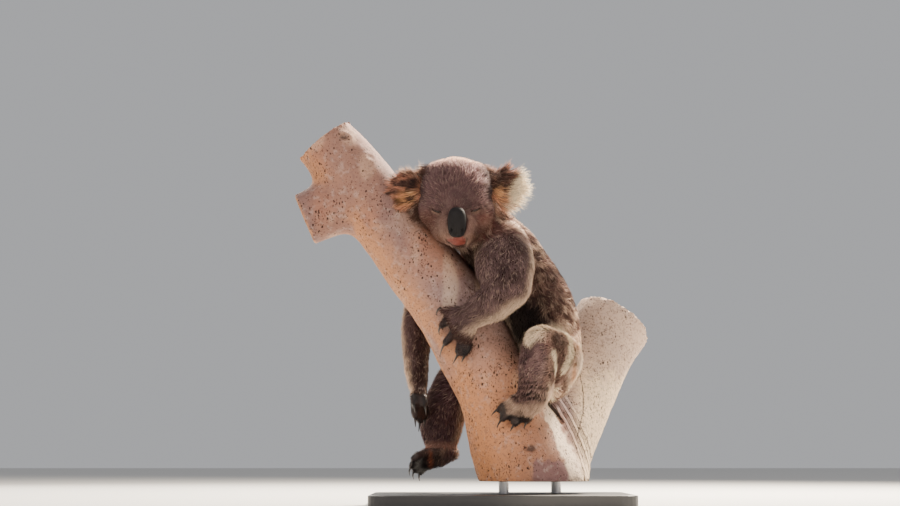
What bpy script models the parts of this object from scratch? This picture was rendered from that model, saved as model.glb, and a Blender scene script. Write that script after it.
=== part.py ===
"""A koala asleep on a forked gum limb, life size, held by a plain display stand.

The animal is modelled whole. Lofts along its bones are joined, blended into one
form, relieved where they touch the limb, and then parted by thin cuts into head,
neck, trunk and the segments of the arms and legs. Ears, nose, eyes and claws are
pieces of their own. Metres, +Z up. The animal's left side faces -Y, its head end
points to -X, and the origin is the middle of the underside of the base.
"""
import math

import bmesh
import bpy
import numpy as np
from mathutils import Matrix, Vector

# ---- driving dimensions -------------------------------------------------------
GAP = 0.0003                  # clearance between neighbouring pieces
CUT = 0.0004                  # thickness of the cuts that part the body
BODY_VOXEL = 0.0034           # blending grid of the animal
PERCH_VOXEL = 0.008           # blending grid of the limb
BODY_TRIANGLES = 2540         # the whole animal without ears, nose, eyes, claws
PERCH_TRIANGLES = 760
EAR_VOXEL = 0.0025
EAR_TRIANGLES = 220
BODY_SOFTENING = 6            # smoothing passes after blending
PERCH_SOFTENING = 8
EAR_SOFTENING = 4
RING_SIDES = 20               # sides of a loft's section
SECTION_STEP = 0.008          # spacing of a loft's sections
DOME_ANGLES = (82, 60, 38, 18)  # degrees round a loft's end, tip first
MERGE = 0.00001               # points nearer than this are one
CRUMB_VOLUME = 0.000001       # a cut's pieces smaller than this are crumbs
SHARP_ANGLE = 45              # degrees; flatter edges are shaded smooth

BASE_SIZE = Vector((0.46, 0.36, 0.020))
BASE_CORNER = 0.03            # corner radius of the base
BASE_EDGE = 0.002             # bevel of the base's edges
ROD_RADIUS = 0.009
ROD_PLACES = {"stand_rod_left": (0.005, -0.015), "stand_rod_right": (0.100, 0.030)}
PERCH_BOTTOM = 0.042          # height of the limb's sawn foot

SIDES = ("left", "right")     # the left side faces -Y, the right side +Y

# The limb: points down its axis with the radius there.
LIMB = [
    ((-0.380, 0.000, 0.735), 0.0550),
    ((-0.329, 0.000, 0.667), 0.0576),
    ((-0.251, 0.000, 0.574), 0.0630),
    ((-0.153, 0.000, 0.441), 0.0684),
    ((-0.099, 0.000, 0.371), 0.0711),
    ((-0.048, 0.000, 0.284), 0.0729),
    ((0.003, 0.000, 0.190), 0.0774),
    ((0.026, 0.000, 0.106), 0.0846),
    ((0.061, 0.000, 0.032), 0.0960),
    ((0.075, 0.000, -0.010), 0.1000),
]
FORK = [
    ((0.070, 0.020, 0.020), 0.0900),
    ((0.078, 0.050, 0.085), 0.0860),
    ((0.122, 0.125, 0.170), 0.0810),
    ((0.182, 0.200, 0.282), 0.0770),
    ((0.262, 0.260, 0.400), 0.0740),
]
SIDE_LIMB = [
    ((-0.245, 0.000, 0.555), 0.0560),
    ((-0.300, 0.000, 0.532), 0.0530),
    ((-0.400, 0.000, 0.490), 0.0480),
]
LIMB_TOP_CUT = (Vector((-0.318, 0.0, 0.654)), Vector((-0.62, 0.0, 0.78)))
FORK_CUT = (Vector((0.222, 0.232, 0.342)), Vector((0.50, 0.40, 0.77)))
SIDE_LIMB_CUT = (Vector((-0.352, 0.0, 0.510)), Vector((-0.92, 0.0, -0.39)))

# Trunk: places down the spine with half-depth (back to belly) and half-width.
TRUNK = [
    ((-0.052, -0.030, 0.502), 0.056, 0.060),
    ((-0.028, -0.014, 0.480), 0.060, 0.066),
    ((0.006, -0.003, 0.447), 0.064, 0.076),
    ((0.036, 0.001, 0.405), 0.065, 0.082),
    ((0.064, 0.002, 0.352), 0.069, 0.087),
    ((0.080, 0.003, 0.300), 0.065, 0.090),
    ((0.084, 0.004, 0.252), 0.060, 0.087),
    ((0.080, 0.004, 0.236), 0.055, 0.078),
]

# Limbs of the animal: (place, half-width across the view, half-thickness front to back).
ARM_LEFT = [
    ((-0.002, -0.056, 0.462), 0.048, 0.042),
    ((0.004, -0.080, 0.440), 0.052, 0.042),
    ((0.006, -0.104, 0.410), 0.053, 0.040),
    ((0.010, -0.126, 0.376), 0.043, 0.037),
]
FOREARM_LEFT = [
    ((0.012, -0.128, 0.374), 0.036, 0.036),
    ((-0.012, -0.124, 0.354), 0.035, 0.034),
    ((-0.038, -0.110, 0.338), 0.029, 0.028),
    ((-0.057, -0.096, 0.325), 0.024, 0.021),
    ((-0.067, -0.088, 0.308), 0.027, 0.017),
]
ARM_RIGHT = [
    ((0.002, 0.054, 0.458), 0.048, 0.042),
    ((-0.030, 0.082, 0.438), 0.043, 0.040),
    ((-0.075, 0.104, 0.408), 0.039, 0.038),
    ((-0.128, 0.110, 0.376), 0.036, 0.036),
    ((-0.141, 0.109, 0.360), 0.034, 0.034),
]
FOREARM_RIGHT = [
    ((-0.143, 0.109, 0.358), 0.033, 0.034),
    ((-0.151, 0.099, 0.315), 0.030, 0.032),
    ((-0.152, 0.082, 0.268), 0.025, 0.027),
    ((-0.150, 0.070, 0.228), 0.022, 0.021),
    ((-0.147, 0.062, 0.204), 0.016, 0.019),
]
THIGH_LEFT = [
    ((0.090, -0.048, 0.258), 0.056, 0.054),
    ((0.086, -0.088, 0.266), 0.046, 0.044),
    ((0.074, -0.118, 0.276), 0.034, 0.036),
    ((0.068, -0.131, 0.281), 0.030, 0.032),
]
SHIN_LEFT = [
    ((0.069, -0.130, 0.280), 0.034, 0.033),
    ((0.062, -0.124, 0.236), 0.034, 0.032),
    ((0.058, -0.114, 0.204), 0.032, 0.029),
    ((0.050, -0.102, 0.182), 0.028, 0.023),
    ((0.032, -0.094, 0.170), 0.021, 0.015),
]
THIGH_RIGHT = [
    ((0.080, 0.048, 0.258), 0.058, 0.052),
    ((0.030, 0.096, 0.250), 0.054, 0.046),
    ((-0.030, 0.118, 0.240), 0.046, 0.041),
    ((-0.078, 0.117, 0.226), 0.038, 0.037),
]
SHIN_RIGHT = [
    ((-0.082, 0.116, 0.222), 0.037, 0.036),
    ((-0.096, 0.113, 0.185), 0.040, 0.037),
    ((-0.105, 0.110, 0.150), 0.043, 0.037),
    ((-0.106, 0.105, 0.120), 0.037, 0.032),
    ((-0.106, 0.099, 0.098), 0.027, 0.024),
]
FOOT_RIGHT = [
    ((-0.086, 0.094, 0.092), 0.016, 0.018),
    ((-0.108, 0.088, 0.086), 0.021, 0.018),
    ((-0.130, 0.080, 0.082), 0.021, 0.016),
]

# Digits of the gripping hand and foot, by (x, z) along the bark; Y follows the bark.
HAND_GRIP = {
    "thumb_1": ((-0.066, 0.340), (-0.090, 0.345), (-0.106, 0.344), (-0.112, 0.331)),
    "thumb_2": ((-0.066, 0.328), (-0.089, 0.327), (-0.105, 0.314), (-0.108, 0.298)),
    "finger_1": ((-0.070, 0.314), (-0.085, 0.298), (-0.099, 0.283), (-0.107, 0.263)),
    "finger_2": ((-0.064, 0.308), (-0.070, 0.284), (-0.076, 0.266), (-0.086, 0.247)),
    "finger_3": ((-0.058, 0.310), (-0.056, 0.285), (-0.064, 0.264), (-0.070, 0.250)),
}
FOOT_GRIP = {
    "toe_1": ((0.034, 0.176), (0.011, 0.176), (-0.005, 0.168), (-0.018, 0.156)),
    "toe_2": ((0.030, 0.168), (0.014, 0.161), (0.001, 0.150), (-0.008, 0.134)),
    "toe_3": ((0.038, 0.168), (0.031, 0.155), (0.022, 0.142), (0.015, 0.129)),
    "toe_4": ((0.050, 0.172), (0.049, 0.160), (0.044, 0.148), (0.038, 0.134)),
}
# Digits of the hanging hand and foot: three joints of the digit, then the claw's tip.
HAND_HANG = {
    "thumb_1": ((-0.150, 0.049, 0.208), (-0.153, 0.040, 0.194), (-0.154, 0.034, 0.181),
                (-0.152, 0.032, 0.163)),
    "thumb_2": ((-0.142, 0.049, 0.206), (-0.138, 0.039, 0.190), (-0.135, 0.034, 0.177),
                (-0.133, 0.034, 0.159)),
    "finger_1": ((-0.150, 0.054, 0.198), (-0.153, 0.049, 0.174), (-0.153, 0.045, 0.157),
                 (-0.152, 0.041, 0.138)),
    "finger_2": ((-0.145, 0.062, 0.196), (-0.145, 0.060, 0.169), (-0.145, 0.056, 0.149),
                 (-0.147, 0.050, 0.130)),
    "finger_3": ((-0.139, 0.069, 0.198), (-0.137, 0.071, 0.174), (-0.136, 0.069, 0.156),
                 (-0.137, 0.062, 0.138)),
}
FOOT_HANG = {
    "toe_1": ((-0.128, 0.070, 0.096), (-0.144, 0.060, 0.090), (-0.156, 0.054, 0.080),
              (-0.163, 0.052, 0.064)),
    "toe_2": ((-0.130, 0.076, 0.088), (-0.148, 0.070, 0.079), (-0.159, 0.066, 0.068),
              (-0.163, 0.064, 0.051)),
    "toe_3": ((-0.130, 0.084, 0.082), (-0.146, 0.082, 0.071), (-0.154, 0.079, 0.060),
              (-0.156, 0.076, 0.044)),
    "toe_4": ((-0.126, 0.092, 0.080), (-0.138, 0.094, 0.067), (-0.144, 0.092, 0.056),
              (-0.145, 0.089, 0.041)),
}
# The clawless big toe of each foot.
BIG_TOE_LEFT = ((0.050, -0.092, 0.182), (0.030, -0.098, 0.190), (0.016, -0.096, 0.190))
BIG_TOE_RIGHT = ((-0.100, 0.078, 0.094), (-0.112, 0.064, 0.096), (-0.120, 0.056, 0.094))
DIGIT_RADIUS = 0.0085
DIGIT_LIFTS = (0.012, 0.0105, 0.0085, 0.0012)   # of the joints and claw tip over the bark
CLAW_RADIUS = 0.0029
CLAW_TIP_RADIUS = 0.0006
CLAW_SECTIONS = 5
CLAW_BEND = 0.0105            # how far the claw runs on before it curves
CLAW_ROOT = 0.001             # the claw's start past the digit's last joint

# Head: rounded masses, each a centre, three half-sizes and a pitch in degrees.
HEAD_MASSES = {
    "skull": ((-0.080, -0.064, 0.551), (0.067, 0.070, 0.063), 10),
    "crown_left": ((-0.052, -0.058, 0.570), (0.037, 0.052, 0.038), 0),
    "crown_right": ((-0.108, -0.058, 0.570), (0.037, 0.052, 0.038), 0),
    "cheek_left": ((-0.044, -0.080, 0.512), (0.034, 0.045, 0.040), 10),
    "cheek_right": ((-0.113, -0.080, 0.519), (0.035, 0.045, 0.036), 10),
    "bridge": ((-0.079, -0.112, 0.520), (0.024, 0.034, 0.034), 20),
    "muzzle": ((-0.078, -0.114, 0.488), (0.034, 0.043, 0.032), 10),
    "jaw": ((-0.079, -0.078, 0.486), (0.048, 0.056, 0.032), 8),
    "chin": ((-0.075, -0.110, 0.463), (0.025, 0.031, 0.0165), 4),
}
NOSE = ((-0.078, -0.147, 0.4875), (0.0160, 0.0165, 0.0268), 13)
EYES = {"eye_right": (-0.111, -0.1175, 0.511), "eye_left": (-0.048, -0.1175, 0.513)}
EYE_RADIUS = 0.0078
# Ear: centre, half-sizes (across, thick, high), turn about +Z and lean in the view.
EARS = {
    "ear_right": ((-0.168, -0.062, 0.556), (0.040, 0.024, 0.040), -14, 6),
    "ear_left": ((0.012, -0.050, 0.560), (0.046, 0.025, 0.045), 16, -4),
}
EAR_BOWL_DEPTH = 0.95         # depth of the bowl, as a share of the ear's half-thickness
EAR_BOWL_WIDTH = 0.66         # width of the bowl, as a share of the ear's

# Cuts that part the body: middle, direction towards the far piece, radius, and a
# point of the far piece.
HEAD_CUT = ((-0.042, -0.042, 0.512), (-0.57, -0.465, 0.672), 0.105, (-0.080, -0.070, 0.600))
NECK_CUT = ((-0.022, -0.014, 0.488), (-0.50, -0.10, 0.86), 0.130, (-0.040, -0.020, 0.505))
LIMB_CUTS = {
    "left": {
        "shoulder": ((0.002, -0.0860, 0.438), (0, -1, 0), 0.080),
        "elbow": ((0.000, -0.124, 0.366), (-0.36, 0.0, -0.93), 0.085),
        "wrist": ((-0.056, -0.097, 0.326), (-0.72, 0.25, -0.64), 0.040),
        "hip": ((0.088, -0.0940, 0.266), (0, -0.95, -0.30), 0.088),
        "knee": ((0.070, -0.118, 0.262), (0, -0.80, -0.60), 0.080),
        "ankle": ((0.053, -0.104, 0.190), (-0.45, 0.2, -0.87), 0.042),
    },
    "right": {
        "shoulder": ((-0.045, 0.090, 0.428), (-0.72, 0.45, -0.50), 0.058),
        "elbow": ((-0.142, 0.108, 0.350), (-0.15, -0.1, -0.98), 0.050),
        "wrist": ((-0.150, 0.067, 0.218), (0, -0.2, -1), 0.034),
        "hip": ((0.020, 0.103, 0.250), (-0.84, 0.52, -0.15), 0.066),
        "knee": ((-0.088, 0.114, 0.208), (-0.35, -0.1, -0.93), 0.056),
        "ankle": ((-0.106, 0.101, 0.106), (-0.1, -0.1, -1), 0.050),
    },
}
# A point in the far piece of each cut, to know it by.
FAR_POINTS = {
    "left": {"elbow": (-0.058, -0.098, 0.324), "wrist": (-0.085, -0.090, 0.300),
             "shoulder": (0.010, -0.140, 0.376), "hip": (0.069, -0.155, 0.260),
             "knee": (0.060, -0.130, 0.220), "ankle": (0.015, -0.100, 0.165)},
    "right": {"elbow": (-0.152, 0.090, 0.280), "wrist": (-0.152, 0.070, 0.180),
              "shoulder": (-0.143, 0.110, 0.358), "hip": (-0.082, 0.120, 0.222),
              "knee": (-0.107, 0.104, 0.150), "ankle": (-0.120, 0.085, 0.085)},
}

FUR = (0.135, 0.095, 0.080, 1)
PALE_FUR = (0.40, 0.33, 0.27, 1)
DARK_SKIN = (0.035, 0.030, 0.032, 1)
COLOURS = {                    # colour, roughness, metallic
    "fur": (FUR, 0.9, 0.0),
    "ear_fur": (PALE_FUR, 0.9, 0.0),
    "paw": (DARK_SKIN, 0.7, 0.0),
    "nose": ((0.012, 0.013, 0.017, 1), 0.42, 0.0),
    "eye": ((0.02, 0.012, 0.008, 1), 0.15, 0.0),
    "claw": ((0.010, 0.009, 0.009, 1), 0.35, 0.0),
    "bark": ((0.52, 0.42, 0.37, 1), 0.8, 0.0),
    "base": ((0.030, 0.030, 0.032, 1), 0.5, 0.0),
    "rod": ((0.45, 0.45, 0.46, 1), 0.35, 1.0),
}


# ---- helpers ------------------------------------------------------------------
def clear_scene():
    for obj in list(bpy.data.objects):
        bpy.data.objects.remove(obj, do_unlink=True)
    for group in list(bpy.data.collections):
        bpy.data.collections.remove(group)


def new_collection(name):
    group = bpy.data.collections.new(name)
    bpy.context.scene.collection.children.link(group)
    return group


def add_object(name, mesh, group):
    obj = bpy.data.objects.new(name, mesh)
    group.objects.link(obj)
    return obj


def paint(obj, finish):
    """Gives one object its own Principled material."""
    colour, roughness, metallic = COLOURS[finish]
    material = bpy.data.materials.new(f"{obj.name}_{finish}")
    material.use_nodes = True
    shader = material.node_tree.nodes["Principled BSDF"]
    shader.inputs["Base Color"].default_value = colour
    shader.inputs["Roughness"].default_value = roughness
    shader.inputs["Metallic"].default_value = metallic
    obj.data.materials.clear()
    obj.data.materials.append(material)


def smooth_rows(rows, step):
    """Rows of numbers, the first three a place, read along a Catmull-Rom curve."""
    rows = np.array(rows, dtype=float)
    ends = np.vstack([2 * rows[0] - rows[1], rows, 2 * rows[-1] - rows[-2]])
    out = []
    for p0, p1, p2, p3 in zip(ends, ends[1:], ends[2:], ends[3:]):
        count = max(1, round(np.linalg.norm(p2[:3] - p1[:3]) / step))
        for t in np.arange(count) / count:
            out.append(0.5 * (2 * p1 + (p2 - p0) * t + (2 * p0 - 5 * p1 + 4 * p2 - p3) * t**2
                              + (3 * p1 - p0 - 3 * p2 + p3) * t**3))
    out.append(rows[-1])
    return np.array(out)


def loft(rows, side, step=SECTION_STEP, sides=RING_SIDES, domed=True):
    """A closed body of elliptic sections along a path.

    Each row is x, y, z, the half-size across, and the half-size along the direction
    `side`. Domed ends are a quarter ellipse of rings; plain ends are flat.
    """
    rows = smooth_rows(rows, step)
    tangents = np.gradient(rows[:, :3], axis=0)
    tangents /= np.linalg.norm(tangents, axis=1)[:, None]
    if domed:
        angles = np.radians(DOME_ANGLES)
        caps = []
        for row, tangent, sign in ((rows[0], tangents[0], -1), (rows[-1], tangents[-1], 1)):
            reach = min(row[3], row[4])
            ring_rows = [np.append(row[:3] + sign * tangent * reach * math.sin(a),
                                   row[3:] * math.cos(a)) for a in angles]
            caps.append(ring_rows)
        rows = np.vstack([caps[0], rows, caps[1][::-1]])
        count = len(angles)
        tangents = np.vstack([np.repeat(tangents[:1], count, 0), tangents,
                              np.repeat(tangents[-1:], count, 0)])
    mesh = bmesh.new()
    rings = []
    for row, tangent in zip(rows, tangents):
        depth = Vector(side) - Vector(tangent) * Vector(side).dot(Vector(tangent))
        depth.normalize()
        across = Vector(tangent).cross(depth)
        ring = []
        for k in range(sides):
            a = math.tau * k / sides
            place = Vector(row[:3]) + across * row[3] * math.cos(a) + depth * row[4] * math.sin(a)
            ring.append(mesh.verts.new(place))
        rings.append(ring)
    for low, high in zip(rings, rings[1:]):
        for k in range(sides):
            n = (k + 1) % sides
            mesh.faces.new((low[k], low[n], high[n], high[k]))
    mesh.faces.new(rings[0][::-1])
    mesh.faces.new(rings[-1])
    return finish_bmesh(mesh, "loft")


def finish_bmesh(mesh, name):
    bmesh.ops.triangulate(mesh, faces=[f for f in mesh.faces if len(f.verts) > 4])
    bmesh.ops.recalc_face_normals(mesh, faces=mesh.faces)
    out = bpy.data.meshes.new(name)
    mesh.to_mesh(out)
    mesh.free()
    return out


def tube_rows(points):
    """Rows for a loft of round sections from (place, radius) pairs."""
    return [(*place, radius, radius) for place, radius in points]


def flesh_rows(points):
    """Rows for a loft of oval sections from (place, across, depth) triples."""
    return [(*place, across, depth) for place, across, depth in points]


def ball(centre, half_sizes, pitch=0.0, turn=0.0, lean=0.0, fineness=24):
    """An ellipsoid, pitched about X, leaned about Y, then turned about Z, in degrees."""
    mesh = bmesh.new()
    bmesh.ops.create_uvsphere(mesh, u_segments=fineness, v_segments=fineness // 2, radius=1.0)
    place = (Matrix.Translation(centre)
             @ Matrix.Rotation(math.radians(turn), 4, "Z")
             @ Matrix.Rotation(math.radians(lean), 4, "Y")
             @ Matrix.Rotation(math.radians(pitch), 4, "X")
             @ Matrix.Diagonal((*half_sizes, 1.0)))
    bmesh.ops.transform(mesh, matrix=place, verts=mesh.verts)
    return finish_bmesh(mesh, "ball")


def evaluated_mesh(obj):
    """The object's mesh with its modifiers applied."""
    graph = bpy.context.evaluated_depsgraph_get()
    return bpy.data.meshes.new_from_object(obj.evaluated_get(graph))


def joined(meshes):
    """Several meshes as one mesh of separate shells."""
    whole = bmesh.new()
    for mesh in meshes:
        whole.from_mesh(mesh)
    out = bpy.data.meshes.new("joined")
    whole.to_mesh(out)
    whole.free()
    return out


def blended(meshes, voxel, smoothing, triangles, group):
    """Joins overlapping shells into one smooth closed form of few triangles."""
    obj = add_object("blend", joined(meshes), group)
    remesh = obj.modifiers.new("union", "REMESH")
    remesh.mode = "VOXEL"
    remesh.voxel_size = voxel
    soften = obj.modifiers.new("soften", "SMOOTH")
    soften.factor = 0.5
    soften.iterations = smoothing
    obj.data = evaluated_mesh(obj)
    obj.modifiers.clear()
    faces = sum(len(p.vertices) - 2 for p in obj.data.polygons)
    thin = obj.modifiers.new("thin", "DECIMATE")
    thin.ratio = min(1.0, triangles / faces)
    thin.use_collapse_triangulate = True
    mesh = evaluated_mesh(obj)
    bpy.data.objects.remove(obj, do_unlink=True)
    return mesh


def grown(mesh, distance):
    """A copy with each point moved out along its normal."""
    body = bmesh.new()
    body.from_mesh(mesh)
    bmesh.ops.recalc_face_normals(body, faces=body.faces)
    body.normal_update()
    moves = [v.normal * distance for v in body.verts]
    for vert, move in zip(body.verts, moves):
        vert.co += move
    out = bpy.data.meshes.new("grown")
    body.to_mesh(out)
    body.free()
    return out


def boolean(mesh, cutter, operation, group):
    """One exact Boolean of two closed meshes."""
    obj = add_object("work", mesh, group)
    other = add_object("cutter", cutter, group)
    cut = obj.modifiers.new("cut", "BOOLEAN")
    cut.operation = operation
    cut.solver = "EXACT"
    cut.object = other
    out = evaluated_mesh(obj)
    bpy.data.objects.remove(obj, do_unlink=True)
    bpy.data.objects.remove(other, do_unlink=True)
    return cleaned(out)


def cleaned(mesh):
    """Merges the slivers that a Boolean leaves and makes triangles."""
    body = bmesh.new()
    body.from_mesh(mesh)
    bmesh.ops.triangulate(body, faces=body.faces)
    bmesh.ops.remove_doubles(body, verts=body.verts, dist=MERGE)
    bmesh.ops.dissolve_degenerate(body, dist=MERGE, edges=body.edges)
    bmesh.ops.triangulate(body, faces=body.faces)
    body.to_mesh(mesh)
    body.free()
    return mesh


def disc(middle, direction, radius, thickness=CUT):
    """A thin round cutter."""
    mesh = bmesh.new()
    bmesh.ops.create_cone(mesh, cap_ends=True, segments=32, radius1=radius, radius2=radius,
                          depth=thickness)
    turn = Vector(direction).to_track_quat("Z", "Y").to_matrix().to_4x4()
    bmesh.ops.transform(mesh, matrix=Matrix.Translation(middle) @ turn, verts=mesh.verts)
    return finish_bmesh(mesh, "disc")


def half_space(middle, direction, size=0.5):
    """A cube whose near face holds `middle` and that lies on the side of `direction`."""
    mesh = bmesh.new()
    bmesh.ops.create_cube(mesh, size=size)
    direction = Vector(direction).normalized()
    turn = direction.to_track_quat("Z", "Y").to_matrix().to_4x4()
    place = Matrix.Translation(Vector(middle) + direction * size / 2) @ turn
    bmesh.ops.transform(mesh, matrix=place, verts=mesh.verts)
    return finish_bmesh(mesh, "half_space")


def islands(mesh):
    """The loose shells of a mesh, each as a mesh."""
    body = bmesh.new()
    body.from_mesh(mesh)
    body.verts.ensure_lookup_table()
    unseen = set(range(len(body.verts)))
    shells = []
    while unseen:
        start = unseen.pop()
        shell, front = {start}, [start]
        while front:
            for edge in body.verts[front.pop()].link_edges:
                for vert in edge.verts:
                    if vert.index not in shell:
                        shell.add(vert.index)
                        front.append(vert.index)
        unseen -= shell
        shells.append(shell)
    body.free()
    out = []
    for shell in shells:
        part = bmesh.new()
        part.from_mesh(mesh)
        part.verts.ensure_lookup_table()
        rest = [v for v in part.verts if v.index not in shell]
        bmesh.ops.delete(part, geom=rest, context="VERTS")
        piece = bpy.data.meshes.new("island")
        part.to_mesh(piece)
        part.free()
        out.append(piece)
    return out


def mesh_volume(mesh):
    body = bmesh.new()
    body.from_mesh(mesh)
    volume = body.calc_volume()
    body.free()
    return volume


def distance_to(mesh, point):
    return min((v.co - Vector(point)).length for v in mesh.vertices)


def largest(mesh):
    """The largest loose shell, without the crumbs that a cut can leave."""
    return max(islands(mesh), key=mesh_volume)


def severed(mesh, cut, far_point, group):
    """Parts a mesh with a thin disc: returns the far piece and what stays."""
    middle, direction, radius = cut
    parts = boolean(mesh, disc(middle, direction, radius), "DIFFERENCE", group)
    shells = [s for s in islands(parts) if mesh_volume(s) > CRUMB_VOLUME]
    if len(shells) != 2:
        raise ValueError(f"a cut at {middle} leaves {len(shells)} pieces")
    shells.sort(key=lambda shell: distance_to(shell, far_point))
    return shells[0], shells[1]


# ---- the limb of the tree -----------------------------------------------------
def bark_point(x, z, lift):
    """A place over the near face of the main limb, `lift` clear of the bark."""
    nearest = None
    axis = smooth_rows(tube_rows(LIMB), SECTION_STEP)
    for row in axis:
        reach = math.hypot(x - row[0], z - row[2])
        if nearest is None or reach < nearest[0]:
            nearest = (reach, row[3])
    reach, radius = nearest
    radius += lift
    return (x, -math.sqrt(max(radius**2 - reach**2, MERGE)), z)


def make_perch(group):
    forms = [loft(tube_rows(points), (0, 1, 0), step=0.02, sides=28, domed=False)
             for points in (LIMB, FORK, SIDE_LIMB)]
    mesh = blended(forms, PERCH_VOXEL, PERCH_SOFTENING, PERCH_TRIANGLES, group)
    cuts = [LIMB_TOP_CUT, FORK_CUT, SIDE_LIMB_CUT,
            (Vector((0, 0, PERCH_BOTTOM)), Vector((0, 0, -1)))]
    for middle, direction in cuts:
        mesh = boolean(mesh, half_space(middle, direction), "DIFFERENCE", group)
    return largest(mesh)


# ---- the animal ---------------------------------------------------------------
def digit_points(digit, grips):
    """Three joints of a digit and the claw's tip, laid on the bark where it grips."""
    if not grips:
        return [Vector(p) for p in digit]
    return [Vector(bark_point(x, z, lift)) for (x, z), lift in zip(digit, DIGIT_LIFTS)]


def digit_form(points, radius=DIGIT_RADIUS):
    radii = (radius * 1.1, radius, radius * 0.8)
    return loft([(*p, r, r) for p, r in zip(points, radii)], (0, 1, 0.1), step=0.006, sides=12)


def claw_form(points):
    """A curved cone from inside the digit's end to its tip."""
    base, tip = points[2], points[3]
    along = (points[2] - points[1]).normalized()
    start = base + along * CLAW_ROOT
    bend = base + along * CLAW_BEND
    rows = []
    for t in np.linspace(0.0, 1.0, CLAW_SECTIONS):
        place = start * (1 - t) ** 2 + bend * 2 * t * (1 - t) + tip * t**2
        radius = CLAW_RADIUS + (CLAW_TIP_RADIUS - CLAW_RADIUS) * t
        rows.append((*place, radius * 0.8, radius))
    return loft(rows, (0.1, 1, 0.2), step=0.02, sides=6, domed=False)


def digits():
    """Name, points and grip of every clawed digit."""
    for side, hand, foot in (("left", HAND_GRIP, FOOT_GRIP), ("right", HAND_HANG, FOOT_HANG)):
        grips = side == "left"
        for part, table in (("hand", hand), ("foot", foot)):
            for name, digit in table.items():
                yield f"claw_{part}_{side}_{name}", digit_points(digit, grips)


def body_forms():
    spine = [(*place, depth, width) for place, depth, width in TRUNK]
    forms = [loft(spine, (0, 1, 0))]
    limbs = (ARM_LEFT, FOREARM_LEFT, ARM_RIGHT, FOREARM_RIGHT, SHIN_LEFT, THIGH_RIGHT,
             SHIN_RIGHT, FOOT_RIGHT)
    forms += [loft(flesh_rows(points), (0.0, 1.0, 0.05)) for points in limbs]
    forms.append(loft(flesh_rows(THIGH_LEFT), (0, 0, 1)))   # it runs along Y
    forms += [ball(centre, sizes, pitch) for centre, sizes, pitch in HEAD_MASSES.values()]
    forms += [digit_form(points) for _, points in digits()]
    forms += [digit_form([Vector(p) for p in toe], DIGIT_RADIUS * 1.1)
              for toe in (BIG_TOE_LEFT, BIG_TOE_RIGHT)]
    return forms


def ear_form(centre, sizes, turn, lean, group):
    """A rounded leaf with a shallow bowl in its front."""
    leaf = ball(centre, sizes, turn=turn, lean=lean, fineness=20)
    facing = Matrix.Rotation(math.radians(turn), 3, "Z") @ Vector((0, -1, 0))
    bowl_centre = Vector(centre) + facing * sizes[1]
    bowl_sizes = (sizes[0] * EAR_BOWL_WIDTH, sizes[1] * EAR_BOWL_DEPTH, sizes[2] * EAR_BOWL_WIDTH)
    bowl = ball(bowl_centre, bowl_sizes, turn=turn, lean=lean)
    form = boolean(leaf, bowl, "DIFFERENCE", group)
    return blended([form], EAR_VOXEL, EAR_SOFTENING, EAR_TRIANGLES, group)


def part_body(flesh, group):
    """Cuts the whole body into its named parts, from the far ones inwards."""
    parts = {}
    parts["head"], rest = severed(flesh, HEAD_CUT[:3], HEAD_CUT[3], group)
    for side in SIDES:
        cuts, points = LIMB_CUTS[side], FAR_POINTS[side]
        arm, rest = severed(rest, cuts["shoulder"], points["shoulder"], group)
        far, parts[f"upper_arm_{side}"] = severed(arm, cuts["elbow"], points["elbow"], group)
        parts[f"hand_{side}"], parts[f"forearm_{side}"] = severed(
            far, cuts["wrist"], points["wrist"], group)
        leg, rest = severed(rest, cuts["hip"], points["hip"], group)
        far, parts[f"thigh_{side}"] = severed(leg, cuts["knee"], points["knee"], group)
        parts[f"foot_{side}"], parts[f"shin_{side}"] = severed(
            far, cuts["ankle"], points["ankle"], group)
    parts["neck"], parts["trunk"] = severed(rest, NECK_CUT[:3], NECK_CUT[3], group)
    return parts


# ---- the stand ----------------------------------------------------------------
def make_base():
    mesh = bmesh.new()
    bmesh.ops.create_cube(mesh, size=1.0)
    bmesh.ops.scale(mesh, vec=BASE_SIZE, verts=mesh.verts)
    bmesh.ops.translate(mesh, vec=(0, 0, BASE_SIZE.z / 2), verts=mesh.verts)
    upright = [e for e in mesh.edges if abs(e.verts[0].co.z - e.verts[1].co.z) > BASE_SIZE.z / 2]
    bmesh.ops.bevel(mesh, geom=upright, offset=BASE_CORNER, segments=5, affect="EDGES",
                    profile=0.5)
    rim = [e for e in mesh.edges
           if all(abs(v.co.z - BASE_SIZE.z) < MERGE for v in e.verts) and e.is_manifold
           and any(abs(f.normal.z) < 0.5 for f in e.link_faces)]
    bmesh.ops.bevel(mesh, geom=rim, offset=BASE_EDGE, segments=2, affect="EDGES", profile=0.5)
    return finish_bmesh(mesh, "stand_base")


def make_rod(place):
    low, high = BASE_SIZE.z + GAP, PERCH_BOTTOM - GAP
    mesh = bmesh.new()
    bmesh.ops.create_cone(mesh, cap_ends=True, segments=24, radius1=ROD_RADIUS,
                          radius2=ROD_RADIUS, depth=high - low)
    bmesh.ops.translate(mesh, vec=(*place, (low + high) / 2), verts=mesh.verts)
    return finish_bmesh(mesh, "rod")


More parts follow.
